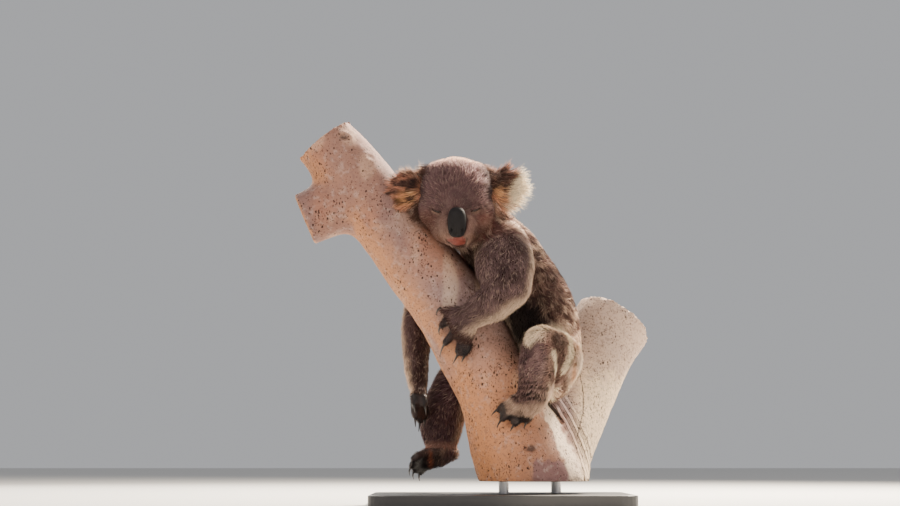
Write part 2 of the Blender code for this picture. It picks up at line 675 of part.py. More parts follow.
def main():
    clear_scene()
    group = new_collection("koala")
    bench = new_collection("bench")
    nodes = {}
    perch = make_perch(bench)
    nodes["perch"] = (perch, "bark")

    flesh = blended(body_forms(), BODY_VOXEL, BODY_SOFTENING, BODY_TRIANGLES, bench)
    flesh = boolean(flesh, grown(perch, GAP), "DIFFERENCE", bench)
    claws = {name: boolean(claw_form(points), grown(perch, GAP), "DIFFERENCE", bench)
             for name, points in digits()}
    nose = ball(*NOSE, fineness=16)
    eyes = {name: ball(centre, (EYE_RADIUS,) * 3, fineness=12) for name, centre in EYES.items()}
    small = joined([grown(m, GAP) for m in (*claws.values(), nose, *eyes.values())])
    flesh = largest(boolean(flesh, small, "DIFFERENCE", bench))
    for name, parameters in EARS.items():
        ear = ear_form(*parameters, bench)
        ear = boolean(ear, grown(flesh, GAP), "DIFFERENCE", bench)
        ear = boolean(ear, grown(perch, GAP), "DIFFERENCE", bench)
        nodes[name] = (largest(ear), "ear_fur")
    for name, mesh in part_body(flesh, bench).items():
        nodes[name] = (mesh, "paw" if name.startswith(("hand", "foot")) else "fur")
    nodes["nose"] = (nose, "nose")
    for name, mesh in eyes.items():
        nodes[name] = (mesh, "eye")
    for name, mesh in claws.items():
        nodes[name] = (largest(mesh), "claw")

    nodes["stand_base"] = (make_base(), "base")
    for name, place in ROD_PLACES.items():
        nodes[name] = (make_rod(place), "rod")

    for name, (mesh, finish) in nodes.items():
        obj = add_object(name, mesh, group)
        obj.data.shade_smooth()
        obj.data.set_sharp_from_angle(angle=math.radians(SHARP_ANGLE))
        paint(obj, finish)
    bpy.data.collections.remove(bench)
    total = sum(len(p.vertices) - 2 for mesh, _ in nodes.values() for p in mesh.polygons)
    print(f"{len(nodes)} nodes, {total} triangles")


main()
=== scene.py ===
# %% [markdown]
# # A koala asleep on a gum limb
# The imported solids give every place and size. This lesson dresses them: one skin
# over the flesh, a coat of solid locks over the skin, a leathery nose, lids, horn
# claws, speckled gum bark with sawn ends, and a plain display stand. All new
# surfaces are worked out as whole arrays, so the same few functions make them all.

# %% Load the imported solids
import functools
import math

import bmesh
import bpy
import numpy as np
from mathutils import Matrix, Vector


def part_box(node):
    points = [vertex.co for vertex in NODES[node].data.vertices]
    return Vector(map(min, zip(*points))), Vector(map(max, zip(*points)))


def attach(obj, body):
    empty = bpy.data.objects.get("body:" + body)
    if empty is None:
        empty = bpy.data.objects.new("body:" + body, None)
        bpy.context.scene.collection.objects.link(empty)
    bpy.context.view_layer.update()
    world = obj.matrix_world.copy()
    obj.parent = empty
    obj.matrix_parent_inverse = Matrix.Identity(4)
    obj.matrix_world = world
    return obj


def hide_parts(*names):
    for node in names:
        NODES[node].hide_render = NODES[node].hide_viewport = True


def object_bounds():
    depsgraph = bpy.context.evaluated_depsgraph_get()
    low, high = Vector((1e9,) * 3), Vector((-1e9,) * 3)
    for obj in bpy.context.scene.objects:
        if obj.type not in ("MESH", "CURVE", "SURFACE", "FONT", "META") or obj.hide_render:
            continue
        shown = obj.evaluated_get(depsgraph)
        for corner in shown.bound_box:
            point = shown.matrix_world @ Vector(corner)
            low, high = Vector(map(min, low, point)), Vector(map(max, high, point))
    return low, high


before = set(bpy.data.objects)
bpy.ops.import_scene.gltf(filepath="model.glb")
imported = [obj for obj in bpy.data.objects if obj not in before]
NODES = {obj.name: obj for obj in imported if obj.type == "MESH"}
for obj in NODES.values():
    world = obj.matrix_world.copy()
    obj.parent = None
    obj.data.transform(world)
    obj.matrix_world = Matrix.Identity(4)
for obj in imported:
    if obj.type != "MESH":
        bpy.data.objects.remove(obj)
bpy.context.view_layer.update()
CAD_BOX = [list(corner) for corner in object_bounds()]   # lowest and highest corner
SIDES = ("left", "right")
SEGMENTS = ("upper_arm", "forearm", "hand", "thigh", "shin", "foot")
FLESH = ["head", "neck", "trunk"] + [f"{part}_{side}" for part in SEGMENTS for side in SIDES]
EARS = [f"ear_{side}" for side in SIDES]
print(f"{len(NODES)} solids, from {CAD_BOX[0]} to {CAD_BOX[1]}")

# %% [markdown]
# ## Materials
# Every finish is a Principled material. What changes from place to place is a field:
# a noise, an attribute of the mesh, or a formula of those. `Field` lets such formulas
# be written with +, - and *, and makes one shader node for each step.

# %% A finish is one Principled material
class Finish:
    """A Principled material. Numbers and colours are set, and fields are wired in."""

    def __init__(self, name, colour=(0.5, 0.5, 0.5), roughness=0.5, **settings):
        self.material = bpy.data.materials.new(name)
        self.material.use_nodes = True
        self.tree = self.material.node_tree
        self.wear(Base_Color=(*colour, 1), Roughness=roughness, **settings)

    def feed(self, socket, value):
        if isinstance(value, Field):
            self.tree.links.new(value.socket, socket)
        else:
            socket.default_value = value

    def wear(self, **settings):
        """Sets or wires inputs of the shader itself."""
        for key, value in settings.items():
            self.feed(self.tree.nodes["Principled BSDF"].inputs[key.replace("_", " ")], value)

    def node(self, kind, output=0, **settings):
        """One output of a new node, with its inputs and settings given by name."""
        node = self.tree.nodes.new(f"ShaderNode{kind}")
        for key, value in settings.items():
            if hasattr(node, key):
                setattr(node, key, value)
            else:
                self.feed(node.inputs[key.replace("_", " ")], value)
        return Field(self, node.outputs[output])

    def places(self, scale=(1, 1, 1), **source):
        """Object coordinates, stretched."""
        source = source or {"Vector": self.node("TexCoord", "Object")}
        return self.node("Mapping", Scale=scale, **source)

    def attribute(self, name, output="Fac"):
        return self.node("Attribute", output, attribute_name=name)

    def cloud(self, places, scale, detail=2.0, output="Fac", **settings):
        """A soft random field from 0 to 1."""
        return self.node("TexNoise", output, Vector=places, Scale=scale, Detail=detail, **settings)

    def shades(self, share, low, high):
        """Colours from low to high by a field."""
        node = self.tree.nodes.new("ShaderNodeValToRGB")
        for element, colour in zip(node.color_ramp.elements, (low, high)):
            element.color = (*colour, 1)
        self.feed(node.inputs["Fac"], share)
        return Field(self, node.outputs["Color"])

    def mixed(self, share, a, b):
        """Colour a where the share is 0, and b where it is 1."""
        node = self.tree.nodes.new("ShaderNodeMix")
        node.data_type = "RGBA"
        self.feed(node.inputs["Factor"], share)
        for socket, colour in ((node.inputs[6], a), (node.inputs[7], b)):
            self.feed(socket, colour if isinstance(colour, Field) else (*colour, 1))
        return Field(self, node.outputs[2])

    def bump(self, height, strength, distance):
        self.wear(Normal=self.node("Bump", Height=height, Strength=strength, Distance=distance))


print("a Finish is one material, with its fields wired in")


# %% A field is a formula in a finish
class Field:
    """A value worked out in a material at each place."""

    def __init__(self, finish, socket):
        self.finish, self.socket = finish, socket

    def maths(self, operation, other=0.0):
        node = self.finish.tree.nodes.new("ShaderNodeMath")
        node.operation = operation
        self.finish.feed(node.inputs[0], self)
        self.finish.feed(node.inputs[1], other)
        return Field(self.finish, node.outputs[0])

    def __add__(self, other):
        return self.maths("ADD", other)

    def __sub__(self, other):
        return self.maths("SUBTRACT", other)

    def __mul__(self, other):
        return self.maths("MULTIPLY", other)

    def stepped(self, low, high):
        """0 at low and 1 at high, with an S-curve between."""
        return self.finish.node("MapRange", "Result", interpolation_type="SMOOTHSTEP",
                                Value=self, From_Min=low, From_Max=high)


print("a Field takes +, - and *, maths and steps")

# %% [markdown]
# ## Camera, floor and light
# The animal is seen from its left side, from a little below, with a long lens that
# keeps the head and the far limbs in true proportion. Two large soft lights in front
# fill the face. A strong warm one, high at the right and behind, stands for the sun
# and draws bright rims on the fringes and hind edges. A weak one lights the back.

# %% Camera and soft studio lights
CAMERA_PLACE = (-0.090, -3.481, 0.084)
CAMERA_TILT = 96              # degrees from looking straight down
CAMERA_LENS = 77.8            # mm, on a sensor 36 mm wide


def linked(obj):
    bpy.context.scene.collection.objects.link(obj)
    return obj


def soft_light(name, place, target, size, power, colour):
    """A square area light at `place` that faces `target`."""
    data = bpy.data.lights.new(name, "AREA")
    data.size, data.energy, data.color = size, power, colour
    light = linked(bpy.data.objects.new(name, data))
    light.location = place
    light.rotation_euler = (Vector(target) - Vector(place)).to_track_quat("-Z", "Y").to_euler()


camera = linked(bpy.data.objects.new("camera", bpy.data.cameras.new("camera")))
camera.location = CAMERA_PLACE
camera.rotation_euler = (math.radians(CAMERA_TILT), 0.0, 0.0)
camera.data.sensor_width = 36
camera.data.lens = CAMERA_LENS
bpy.context.scene.camera = camera

MIDDLE = (0.0, 0.0, 0.38)
soft_light("key", (-1.6, -2.2, 2.2), MIDDLE, 1.6, 78, (1.0, 0.90, 0.80))
soft_light("fill", (2.0, -2.4, 0.9), MIDDLE, 2.0, 18, (1.0, 0.93, 0.88))
soft_light("rim", (1.15, 1.45, 2.1), MIDDLE, 0.6, 600, (1.0, 0.88, 0.72))
soft_light("back", (-1.2, 2.0, 1.6), MIDDLE, 1.2, 72, (1.0, 0.92, 0.80))
print("camera and four soft lights")

# %% Pale floor and surroundings
FLOOR_SIZE = 24.0
PALE = (0.62, 0.61, 0.59)


def set_up_world():
    world = bpy.data.worlds.new("studio")
    bpy.context.scene.world = world
    world.use_nodes = True
    sky = world.node_tree.nodes["Background"]
    sky.inputs["Color"].default_value = (0.80, 0.81, 0.84, 1)
    sky.inputs["Strength"].default_value = 0.55


def plain_floor():
    mesh = bpy.data.meshes.new("floor")
    half = FLOOR_SIZE / 2
    low = CAD_BOX[0][2] - 0.0005
    mesh.from_pydata([(-half, -half, low), (half, -half, low), (half, half, low),
                      (-half, half, low)], [], [(0, 1, 2, 3)])
    mesh.materials.append(Finish("floor", PALE, 0.8).material)
    linked(bpy.data.objects.new("floor", mesh))


set_up_world()
plain_floor()
print("floor at the underside of the base")

# %% [markdown]
# ## Working with whole arrays
# A mesh is a table of points and a table of faces. The helpers below move both
# between Blender and numpy, join and edit copies of the solids, and give smooth
# steps from 0 to 1. Whole arrays keep the script short and quick.

# %% Directions and smooth steps
def unit(vectors):
    """Vectors scaled to length 1."""
    return vectors / np.maximum(np.linalg.norm(vectors, axis=-1, keepdims=True), 1e-9)


def dot(a, b):
    return (a * b).sum(-1)


def ramp(low, high, x):
    """0 below low, 1 above high, and an S-curve between."""
    t = np.clip((x - low) / (high - low), 0.0, 1.0)
    return t * t * (3 - 2 * t)


print("a smooth step", ramp(0.0, 1.0, np.linspace(0.0, 1.0, 5)).round(2).tolist())


# %% Points and normals of a mesh
def points_of(mesh):
    flat = np.empty(len(mesh.vertices) * 3)
    mesh.vertices.foreach_get("co", flat)
    return flat.reshape(-1, 3)


def normals_of(mesh):
    flat = np.empty(len(mesh.vertices) * 3, dtype=np.float32)
    mesh.vertex_normals.foreach_get("vector", flat)
    return flat.reshape(-1, 3).astype(float)


def move_points(mesh, points):
    mesh.vertices.foreach_set("co", np.ascontiguousarray(points).ravel())
    mesh.update()


print(f"{len(points_of(NODES['trunk'].data))} points on the solid of the trunk")

# %% Copies of the solids
MERGE = 0.00001               # metres: corners this close are one


def edited(name, meshes, edit=None):
    """These meshes as one, after an edit of the whole."""
    body = bmesh.new()
    for mesh in meshes:
        body.from_mesh(mesh)
    if edit:
        edit(body)
    out = bpy.data.meshes.new(name)
    body.to_mesh(out)
    body.free()
    return out


def welded(node):
    """A copy of a solid with its loose triangles joined at their corners."""
    return edited(f"{node}_copy", [NODES[node].data], lambda body: bmesh.ops.remove_doubles(
        body, verts=body.verts, dist=MERGE))


@functools.cache
def solid_points(node):
    """The corners of a solid, each once."""
    return points_of(welded(node))


def middle_of(node):
    """The middle of a solid's box."""
    low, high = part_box(node)
    return (np.array(low) + np.array(high)) / 2


print("middle of the head's solid", middle_of("head").round(3).tolist())

# %% [markdown]
# ## Bones
# The coat lies along the bones: from the nose over the head, down the back, and
# down each limb. No skeleton is needed. The middle of the cut between two solids
# is the joint between them, so the joints are measured on the solids themselves.

# %% Joints from the cuts between the solids
def contact(first, second, reach=0.0025):
    """The middle of the cut between two solids."""
    a, b = solid_points(first), solid_points(second)
    near = np.linalg.norm(a[:, None] - b[None], axis=2).min(1) < reach
    return a[near].mean(0)


def slice_middle(node, height, half=0.02):
    """The middle of a solid's slice at that height."""
    points = solid_points(node)
    layer = points[abs(points[:, 2] - height) < half]
    return (layer.min(0) + layer.max(0)) / 2


def claws_of(part):
    return [name for name in NODES if name.startswith(f"claw_{part}")]


NOSE = middle_of("nose")
NAPE = contact("neck", "head")
COLLAR = contact("trunk", "neck")
HEAD = middle_of("head") + np.array([0.0, 0.022, 0.008])   # middle of the braincase
SPINE = [COLLAR] + [slice_middle("trunk", height) for height in (0.43, 0.36, 0.29, 0.235)]
JOINTS = {}
for side in SIDES:
    JOINTS[side] = {
        "shoulder": contact("trunk", f"upper_arm_{side}"),
        "elbow": contact(f"upper_arm_{side}", f"forearm_{side}"),
        "wrist": contact(f"forearm_{side}", f"hand_{side}"),
        "fingers": np.mean([middle_of(n) for n in claws_of(f"hand_{side}")], axis=0),
        "hip": contact("trunk", f"thigh_{side}"),
        "knee": contact(f"thigh_{side}", f"shin_{side}"),
        "ankle": contact(f"shin_{side}", f"foot_{side}"),
        "toes": np.mean([middle_of(n) for n in claws_of(f"foot_{side}")], axis=0),
    }
EYES = {side: middle_of(f"eye_{side}") for side in SIDES}
EYE_RADIUS = (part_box("eye_left")[1][2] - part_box("eye_left")[0][2]) / 2

# %% Bones with their flesh radius, coat depth and lock length
# Each bone: region, start, end, flesh radius, coat depth, length of a lock.
BONES = [("neck", NAPE, COLLAR, 0.060, 0.0065, 0.014)]
for top, low in zip(SPINE, SPINE[1:]):
    BONES.append(("trunk", top, low, 0.078, 0.0070, 0.015))
for side, j in JOINTS.items():
    BONES += [
        (f"arm_{side}", j["shoulder"], j["elbow"], 0.044, 0.0056, 0.014),
        (f"forearm_{side}", j["elbow"], j["wrist"], 0.030, 0.0048, 0.014),
        (f"hand_{side}", j["wrist"], j["fingers"], 0.018, 0.0016, 0.006),
        (f"thigh_{side}", j["hip"], j["knee"], 0.046, 0.0060, 0.014),
        (f"shin_{side}", j["knee"], j["ankle"], 0.034, 0.0045, 0.0090),
        (f"foot_{side}", j["ankle"], j["toes"], 0.018, 0.0018, 0.007),
    ]
BONES.append(("head", HEAD, NAPE, 0.066, 0.0045, 0.012))
REGIONS = [bone[0] for bone in BONES]
print(f"{len(BONES)} bones")


# %% Each bone's share in a place, and the lie of the coat
def to_line(places, start, end):
    """The share along a straight line of the nearest place on it, and the distance."""
    start, along = np.asarray(start), np.subtract(end, start)
    t = np.clip((places - start) @ along / (along @ along), 0.0, 1.0)
    return t, np.linalg.norm(places - start - t[:, None] * along, axis=1)


def bone_distances(points):
    """How far each point lies outside each bone's capsule: distance less radius."""
    return np.stack([to_line(points, start, end)[1] - radius
                     for _, start, end, radius, _, _ in BONES], axis=1)


def bone_shares(points):
    """Each bone's share in each point: the inverse cube of the distance from its surface."""
    weights = 1.0 / np.maximum(bone_distances(points) + 0.012, 0.003) ** 3
    return weights / weights.sum(1, keepdims=True)


def region_share(points, *names):
    """The summed share of these regions' bones."""
    shares = bone_shares(points)
    picked = [k for k, region in enumerate(REGIONS) if region.startswith(names)]
    return shares[:, picked].sum(1)


def face_reach(points):
    """Distance from the nose, for what changes over the face."""
    return np.linalg.norm(points - NOSE, axis=1)


def lie_of(points, normals):
    """The lie of the coat: away from the nose on the head, along the bones elsewhere."""
    shares = bone_shares(points)
    along = np.array([unit(end - start) for _, start, end, _, _, _ in BONES])
    directions = shares[:, :-1] @ along[:-1]
    directions += shares[:, -1:] * unit(points - NOSE - np.array([0.0, 0.018, 0.0]))
    directions -= normals * dot(directions, normals)[:, None]
    return unit(directions)


print(f"the head's share at the nose is {region_share(NOSE[None], 'head')[0]:.2f}")

# %% [markdown]
# ## Skin
# Under the coat is one skin with no seams. Copies of the flesh solids are swollen
# until their cuts close, melted into one form with a voxel remesh, and drawn in by
# the depth of the coat. Ear cups are added, and a second remesh makes them grow
# out of the head. A skin modelled by hand could be finer, but this one always fits
# the solids.

# %% Meshes from tables of points
def mesh_of(name, points, corners, sizes):
    """A mesh from points, the faces' corners end to end, and each face's corner count."""
    mesh = bpy.data.meshes.new(name)
    mesh.vertices.add(len(points))
    mesh.vertices.foreach_set("co", np.asarray(points, dtype=np.float32).ravel())
    mesh.loops.add(len(corners))
    mesh.loops.foreach_set("vertex_index", np.asarray(corners, dtype=np.int32))
    mesh.polygons.add(len(sizes))
    starts = np.concatenate(([0], np.cumsum(sizes)[:-1]))
    mesh.polygons.foreach_set("loop_start", starts.astype(np.int32))
    mesh.update(calc_edges=True)
    mesh.shade_smooth()
    return mesh


def grid_mesh(name, points):
    """A closed tube of quads from a table of rings: rings, points round a ring, xyz.

    The first and last ring are closed by a fan to their own middle.
    """
    rings, sides = points.shape[:2]
    k = np.arange(sides)
    n = (k + 1) % sides
    start = (np.arange(rings - 1) * sides)[:, None]
    quads = np.stack([start + k, start + n, start + sides + n, start + sides + k], axis=2)
    ends = points[[0, -1]].mean(1)
    low, high = rings * sides, rings * sides + 1
    last = (rings - 1) * sides
    fan_low = np.stack([n, k, np.full(sides, low)], axis=1)
    fan_high = np.stack([last + k, last + n, np.full(sides, high)], axis=1)
    corners = np.concatenate([quads.ravel(), fan_low.ravel(), fan_high.ravel()])
    sizes = np.concatenate([np.full(quads.size // 4, 4), np.full(2 * sides, 3)])
    mesh = mesh_of(name, np.vstack([points.reshape(-1, 3), ends]), corners, sizes)
    body = bmesh.new()
    body.from_mesh(mesh)
    bmesh.ops.recalc_face_normals(body, faces=body.faces)
    body.to_mesh(mesh)
    body.free()
    return mesh


def ball_mesh(name, middle, radius, rings=14, steps=18):
    """A sphere as rings of latitude."""
    polar = np.linspace(0.06, math.pi - 0.06, rings)
    angle = np.linspace(0, math.tau, steps, endpoint=False)
    ring = np.stack([np.cos(angle), np.sin(angle), np.zeros(steps)], axis=1)
    up = np.array([0.0, 0.0, 1.0])
    points = middle + radius * (np.sin(polar)[:, None, None] * ring
                                + np.cos(polar)[:, None, None] * up)
    return grid_mesh(name, points)


print("helpers: mesh_of, grid_mesh, ball_mesh")

# %% Ear cups: a bowl-shaped profile carried round the ear's own axes
EAR_SHARE = {"left": 0.76, "right": 0.80}  # of the solid's half-size, hair taken off
EAR_SHIFT = 0.008             # the cup sits this much nearer the head
EAR_BOWL = 0.0085             # depth of the cup
EAR_WALL = 0.0042             # half the wall's thickness


@functools.cache
def ear_axes(side):
    """Middle, outward, upward and facing directions, and half-sizes of an ear."""
    points = solid_points(f"ear_{side}")
    middle = (points.min(0) + points.max(0)) / 2
    facing = np.linalg.svd(points - points.mean(0), full_matrices=False)[2][2]
    facing = facing * -np.sign(facing[1])
    outward = (middle - HEAD) * np.array([1.0, 0.0, 0.0])
    outward = unit(outward - facing * dot(outward, facing))
    upward = np.cross(outward, facing)
    upward = upward * np.sign(upward[2])
    half = (points.max(0) - points.min(0))[[0, 2]] / 2
    return middle - outward * EAR_SHIFT, outward, upward, facing, half


def ear_cup(side, rings=40, steps=48):
    """A bowl with a rounded rim.

    The wall's middle is a paraboloid, deepest at the root. Its thickness follows a
    rounded curve that closes at the rim. The profile runs from the middle of the
    front over the rim to the middle of the back.
    """
    middle, outward, upward, facing, half = ear_axes(side)
    half = half * EAR_SHARE[side]
    s = np.linspace(0.0, 1.0, rings)
    reach = np.sin(math.pi * s) ** 0.8
    reach[0] = reach[-1] = 0.02
    front = np.where(s < 0.5, 1.0, -1.0)
    depth = -EAR_BOWL * (1 - reach**2) + front * EAR_WALL * (1 - reach**14)
    angle = np.linspace(0, math.tau, steps, endpoint=False)
    ripple = 1 + 0.04 * np.sin(3 * angle + 1.0)
    across = (reach[:, None] * np.cos(angle) * ripple)[..., None] * half[0] * outward
    height = (reach[:, None] * np.sin(angle) * ripple)[..., None] * half[1] * upward
    points = middle + across + height + (depth[:, None, None] * facing)
    return grid_mesh(f"ear_cup_{side}", points)


print(f"ear cups {EAR_BOWL} m deep")

# %% Fingers and toes: near a claw
DIGIT_REACH = {"hand": 0.034, "foot": 0.030}   # dark skin and short hair, from the claws
CLAW_PLACES = {part: np.array([middle_of(name) for name in claws_of(part)])
               for part in DIGIT_REACH}


def on_digits(points, part):
    """1 on fingers or toes: near a claw, and on that part's own bone."""
    reach = np.linalg.norm(points[:, None] - CLAW_PLACES[part][None], axis=2).min(1)
    return ramp(DIGIT_REACH[part], DIGIT_REACH[part] - 0.007, reach) * ramp(
        0.25, 0.50, region_share(points, part))


def all_digits(points):
    return np.maximum(on_digits(points, "hand"), on_digits(points, "foot"))


print({part: f"{len(places)} claws" for part, places in CLAW_PLACES.items()})

# %% Depth of the coat
FACE_DEPTH = 0.0022           # coat depth at the nose
CROWN_DEPTH = 0.0060


def mix(a, b, share):
    """a where share is 0 and b where it is 1, for tables of colours."""
    share = np.asarray(share)[..., None]
    return np.asarray(a) * (1 - share) + np.asarray(b) * share


def near_eyes(points, spread):
    """1 at an eye, falling as a bell curve."""
    reach = np.min([np.linalg.norm(points - EYES[side], axis=1) for side in SIDES], axis=0)
    return np.exp(-np.square(np.maximum(reach - EYE_RADIUS, 0.0) / spread))


def coat_depth(points):
    """Depth of the coat: from the bones' table, and growing away from the nose."""
    shares = bone_shares(points)
    depth = shares @ np.array([bone[4] for bone in BONES])
    face = FACE_DEPTH + (CROWN_DEPTH - FACE_DEPTH) * ramp(0.03, 0.11, face_reach(points))
    face *= 1 - 0.5 * near_eyes(points, 0.016)
    return mix(depth[:, None], face[:, None], shares[:, -1])[:, 0]


print(f"coat {FACE_DEPTH} m deep at the nose, {CROWN_DEPTH} m on the crown")


# %% Modifiers and smoothing
def shaped(mesh, kind, **settings):
    """The mesh after one modifier of that kind."""
    obj = linked(bpy.data.objects.new("work", mesh))
    modifier = obj.modifiers.new(kind.lower(), kind)
    for key, value in settings.items():
        setattr(modifier, key, value)
    graph = bpy.context.evaluated_depsgraph_get()
    out = bpy.data.meshes.new_from_object(obj.evaluated_get(graph))
    bpy.data.objects.remove(obj)
    return out


def remeshed(mesh, voxel):
    return shaped(mesh, "REMESH", mode="VOXEL", voxel_size=voxel)


def smoothed(mesh, held, passes):
    """Moves each free point halfway to the mean of its neighbours, again and again."""
    points = points_of(mesh)
    edges = np.empty(len(mesh.edges) * 2, dtype=np.int32)
    mesh.edges.foreach_get("vertices", edges)
    a, b = edges.reshape(-1, 2).T
    count = np.bincount(edges, minlength=len(points))[:, None]
    for _ in range(passes):
        total = np.stack([np.bincount(a, points[b, k], len(points))
                          + np.bincount(b, points[a, k], len(points)) for k in range(3)], axis=1)
        points = points + (total / count - points) * 0.5 * (1 - held)[:, None]
    move_points(mesh, points)
    return mesh


print("helpers: shaped, remeshed, smoothed")

# %% One skin over the flesh
SWELL = 0.0006                # closes the cuts between the solids
SKIN_VOXEL = 0.0034
DIGIT_SWELL = 0.0004          # bare fingers and toes aren't drawn in


def flesh_form():
    copies = [welded(node) for node in FLESH]
    for mesh in copies:
        move_points(mesh, points_of(mesh) + normals_of(mesh) * SWELL)
    copies += [ball_mesh(f"socket_{side}", EYES[side], EYE_RADIUS + 0.001) for side in SIDES]
    copies.append(welded("nose"))
    form = remeshed(edited("flesh", copies), SKIN_VOXEL)
    digit = all_digits(points_of(form))
    form = smoothed(form, digit, 6)
    points = points_of(form)
    depth = coat_depth(points) * (1 - digit) - DIGIT_SWELL * digit
    move_points(form, points - normals_of(form) * depth[:, None])
    return form


def skin_form():
    cups = [ear_cup(side) for side in SIDES]
    roots = []
    for side in SIDES:
        middle, outward, _, facing, half = ear_axes(side)
        root = middle - outward * half[0] * 0.62 - facing * EAR_BOWL
        roots.append(ball_mesh(f"ear_root_{side}", root, 0.019))
    whole = remeshed(edited("whole", [flesh_form(), *cups, *roots]), SKIN_VOXEL)
    return smoothed(whole, all_digits(points_of(whole)), 3)


skin_mesh = skin_form()
print(f"skin of {len(skin_mesh.polygons)} faces")

# %% [markdown]
# ## Face
# A sleeping koala's lids close to a slanting slit, higher at the outer end, with a
# fold above and below. The lip under the nose is bare and pink. Such fine folds
# need finer faces, so the front of the head is divided twice, and the lids once more.

# %% Finer faces where the folds go
FACE_FINE = 0.050             # radius of the finer part, from between nose and eyes
LID_FINE = 0.0135


def divided(mesh, middles, radius):
    """The mesh with its faces near these places cut in four."""
    def split(body):
        edges = set()
        for face in body.faces:
            place = face.calc_center_median()
            if any((place - Vector(middle)).length < radius for middle in middles):
                edges.update(face.edges)
        bmesh.ops.subdivide_edges(body, edges=list(edges), cuts=1, use_grid_fill=True)
        bmesh.ops.triangulate(body, faces=[f for f in body.faces if len(f.verts) > 4])

    return edited("divided", [mesh], split)


FACE_MIDDLE = (NOSE + EYES["left"] + EYES["right"]) / 3
skin_mesh = divided(skin_mesh, [FACE_MIDDLE], FACE_FINE)
skin_mesh = divided(skin_mesh, [FACE_MIDDLE], FACE_FINE * 0.94)
skin_mesh = divided(skin_mesh, list(EYES.values()), LID_FINE)
print(f"skin of {len(skin_mesh.polygons)} faces after dividing")

# %% Lids and folds
LID = 0.0010                  # thickness of a lid over the eye
SLIT_HALF = 0.0088            # half the slit's length
SLIT_SLANT = 0.42             # rise outwards
SLIT_SAG = 0.0014             # how far the closed lid hangs in the middle
SLIT_OPEN = 0.0007            # half the gap between the lids
EYE_TURN = 0.42               # how far an eye looks outwards
LID_BLEND = 0.0016            # softness of the lid's bulge in the face


def peak(distance, width=1.0):
    """A bell curve: 1 at distance 0, and 0.37 at the width."""
    return np.exp(-((distance / width) ** 2))


def groove(distance, width, depth):
    """A rounded valley: a bell curve across it."""
    return -depth * peak(distance, width)


def lid_places(points, side):
    """Places at an eye: outwards, up, and forwards along the eye's own gaze."""
    sign = {"left": 1.0, "right": -1.0}[side]
    facing = unit(np.array([sign * EYE_TURN, -1.0, 0.0]))
    outward = unit(np.array([sign, EYE_TURN, 0.0]))
    away = points - EYES[side]
    return away @ outward, away[:, 2], away @ facing, facing


def slit_height(across):
    share = np.clip(across / SLIT_HALF, -1.3, 1.3)
    return SLIT_SLANT * across - SLIT_SAG * (1 - share**2)


print(f"eyes of radius {EYE_RADIUS:.4f} m, slits {2 * SLIT_HALF:.4f} m long")


# %% Close the lids
def close_lids(points, normals):
    """Raises a lid over each eye and carves the slit and the folds along the gaze.

    The lid is the larger of the skin and a ball just over the eye, with the corner
    between them rounded: (a + b + sqrt((a - b) squared + blend squared)) / 2.
    """
    for side in SIDES:
        across, up, front, facing = lid_places(points, side)
        spread = np.hypot(across, up)
        lid = EYE_RADIUS + LID
        near = ramp(2.0 * lid, 1.6 * lid, spread) * ramp(-0.2 * lid, 0.2 * lid, front)
        near *= ramp(0.0, 0.3, normals @ facing)
        ball = np.sqrt(np.maximum(lid**2 - spread**2, 0.0))
        raised = (front + ball + np.sqrt((front - ball) ** 2 + LID_BLEND**2)) / 2
        height = front + (raised - front) * ramp(1.02 * lid, 0.85 * lid, spread)
        over = up - slit_height(across)
        share = abs(across) / SLIT_HALF
        inside = ramp(1.06, 0.86, share)
        gap = SLIT_OPEN * np.sqrt(np.clip(1 - share**2, 0, 1))
        height += 0.0006 * peak(abs(over) - gap - 0.0010, 0.0007) * inside
        height += groove(over - 0.0050 + 0.25 * across**2 / SLIT_HALF, 0.0008, 0.0010) * inside
        height += groove(over + 0.0043, 0.0008, 0.0007) * inside
        arch = np.hypot(across / 0.0115, (up + 0.001) / 0.0118)
        height += groove(arch - 1, 0.11, 0.0011) * ramp(-0.002, 0.003, up)
        height += groove(np.hypot((across + 0.0112) / 0.0035, (up + 0.0045) / 0.0050), 0.8, 0.0016)
        height -= ramp(gap + 0.0005, gap - 0.0001, abs(over)) * inside * (LID + 0.0012)
        points = points + facing * ((height - front) * near)[:, None]
    return points


print(f"lids {LID} m thick")

# %% Lips and mouth
NOSE_BOX = [np.array(corner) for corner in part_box("nose")]
NOSE_HALF = (NOSE_BOX[1] - NOSE_BOX[0]) / 2
MOUTH_DROP = 0.0052           # the mouth lies this far under the nose
MOUTH_HALF = 0.026
LIP_HALF = 0.0168             # half-width of the bare lip
LIP_SHIFT = -0.002            # the lip hangs a little to one side


def mouth_places(points):
    """Across from the middle of the lip, and height over the line of the mouth."""
    across = points[:, 0] - NOSE[0] - LIP_SHIFT
    line = NOSE_BOX[0][2] - MOUTH_DROP + 0.0040 * (across / MOUTH_HALF) ** 2
    return across, points[:, 2] - line


def bare_lip(points):
    """1 on the bare pink lip and 0 on the coat."""
    across, over = mouth_places(points)
    side = ramp(1.08, 0.96, abs(across) / LIP_HALF)
    front = ramp(NOSE[1] + 0.036, NOSE[1] + 0.026, points[:, 1])
    return side * front * ramp(-0.0076, -0.0066, over) * ramp(0.0100, 0.0080, over)


def lip_distance(points):
    """How far a place on the front of the muzzle lies outside the lip's rectangle."""
    across, over = mouth_places(points)
    beside = np.maximum(abs(across) - LIP_HALF, 0)
    above, below = np.maximum(over - 0.008, 0), np.maximum(-0.0068 - over, 0)
    behind = np.maximum(points[:, 1] - NOSE[1] - 0.030, 0)
    return np.linalg.norm([beside, above, below, behind], axis=0)


print(f"mouth {MOUTH_DROP:.4f} m under the nose")


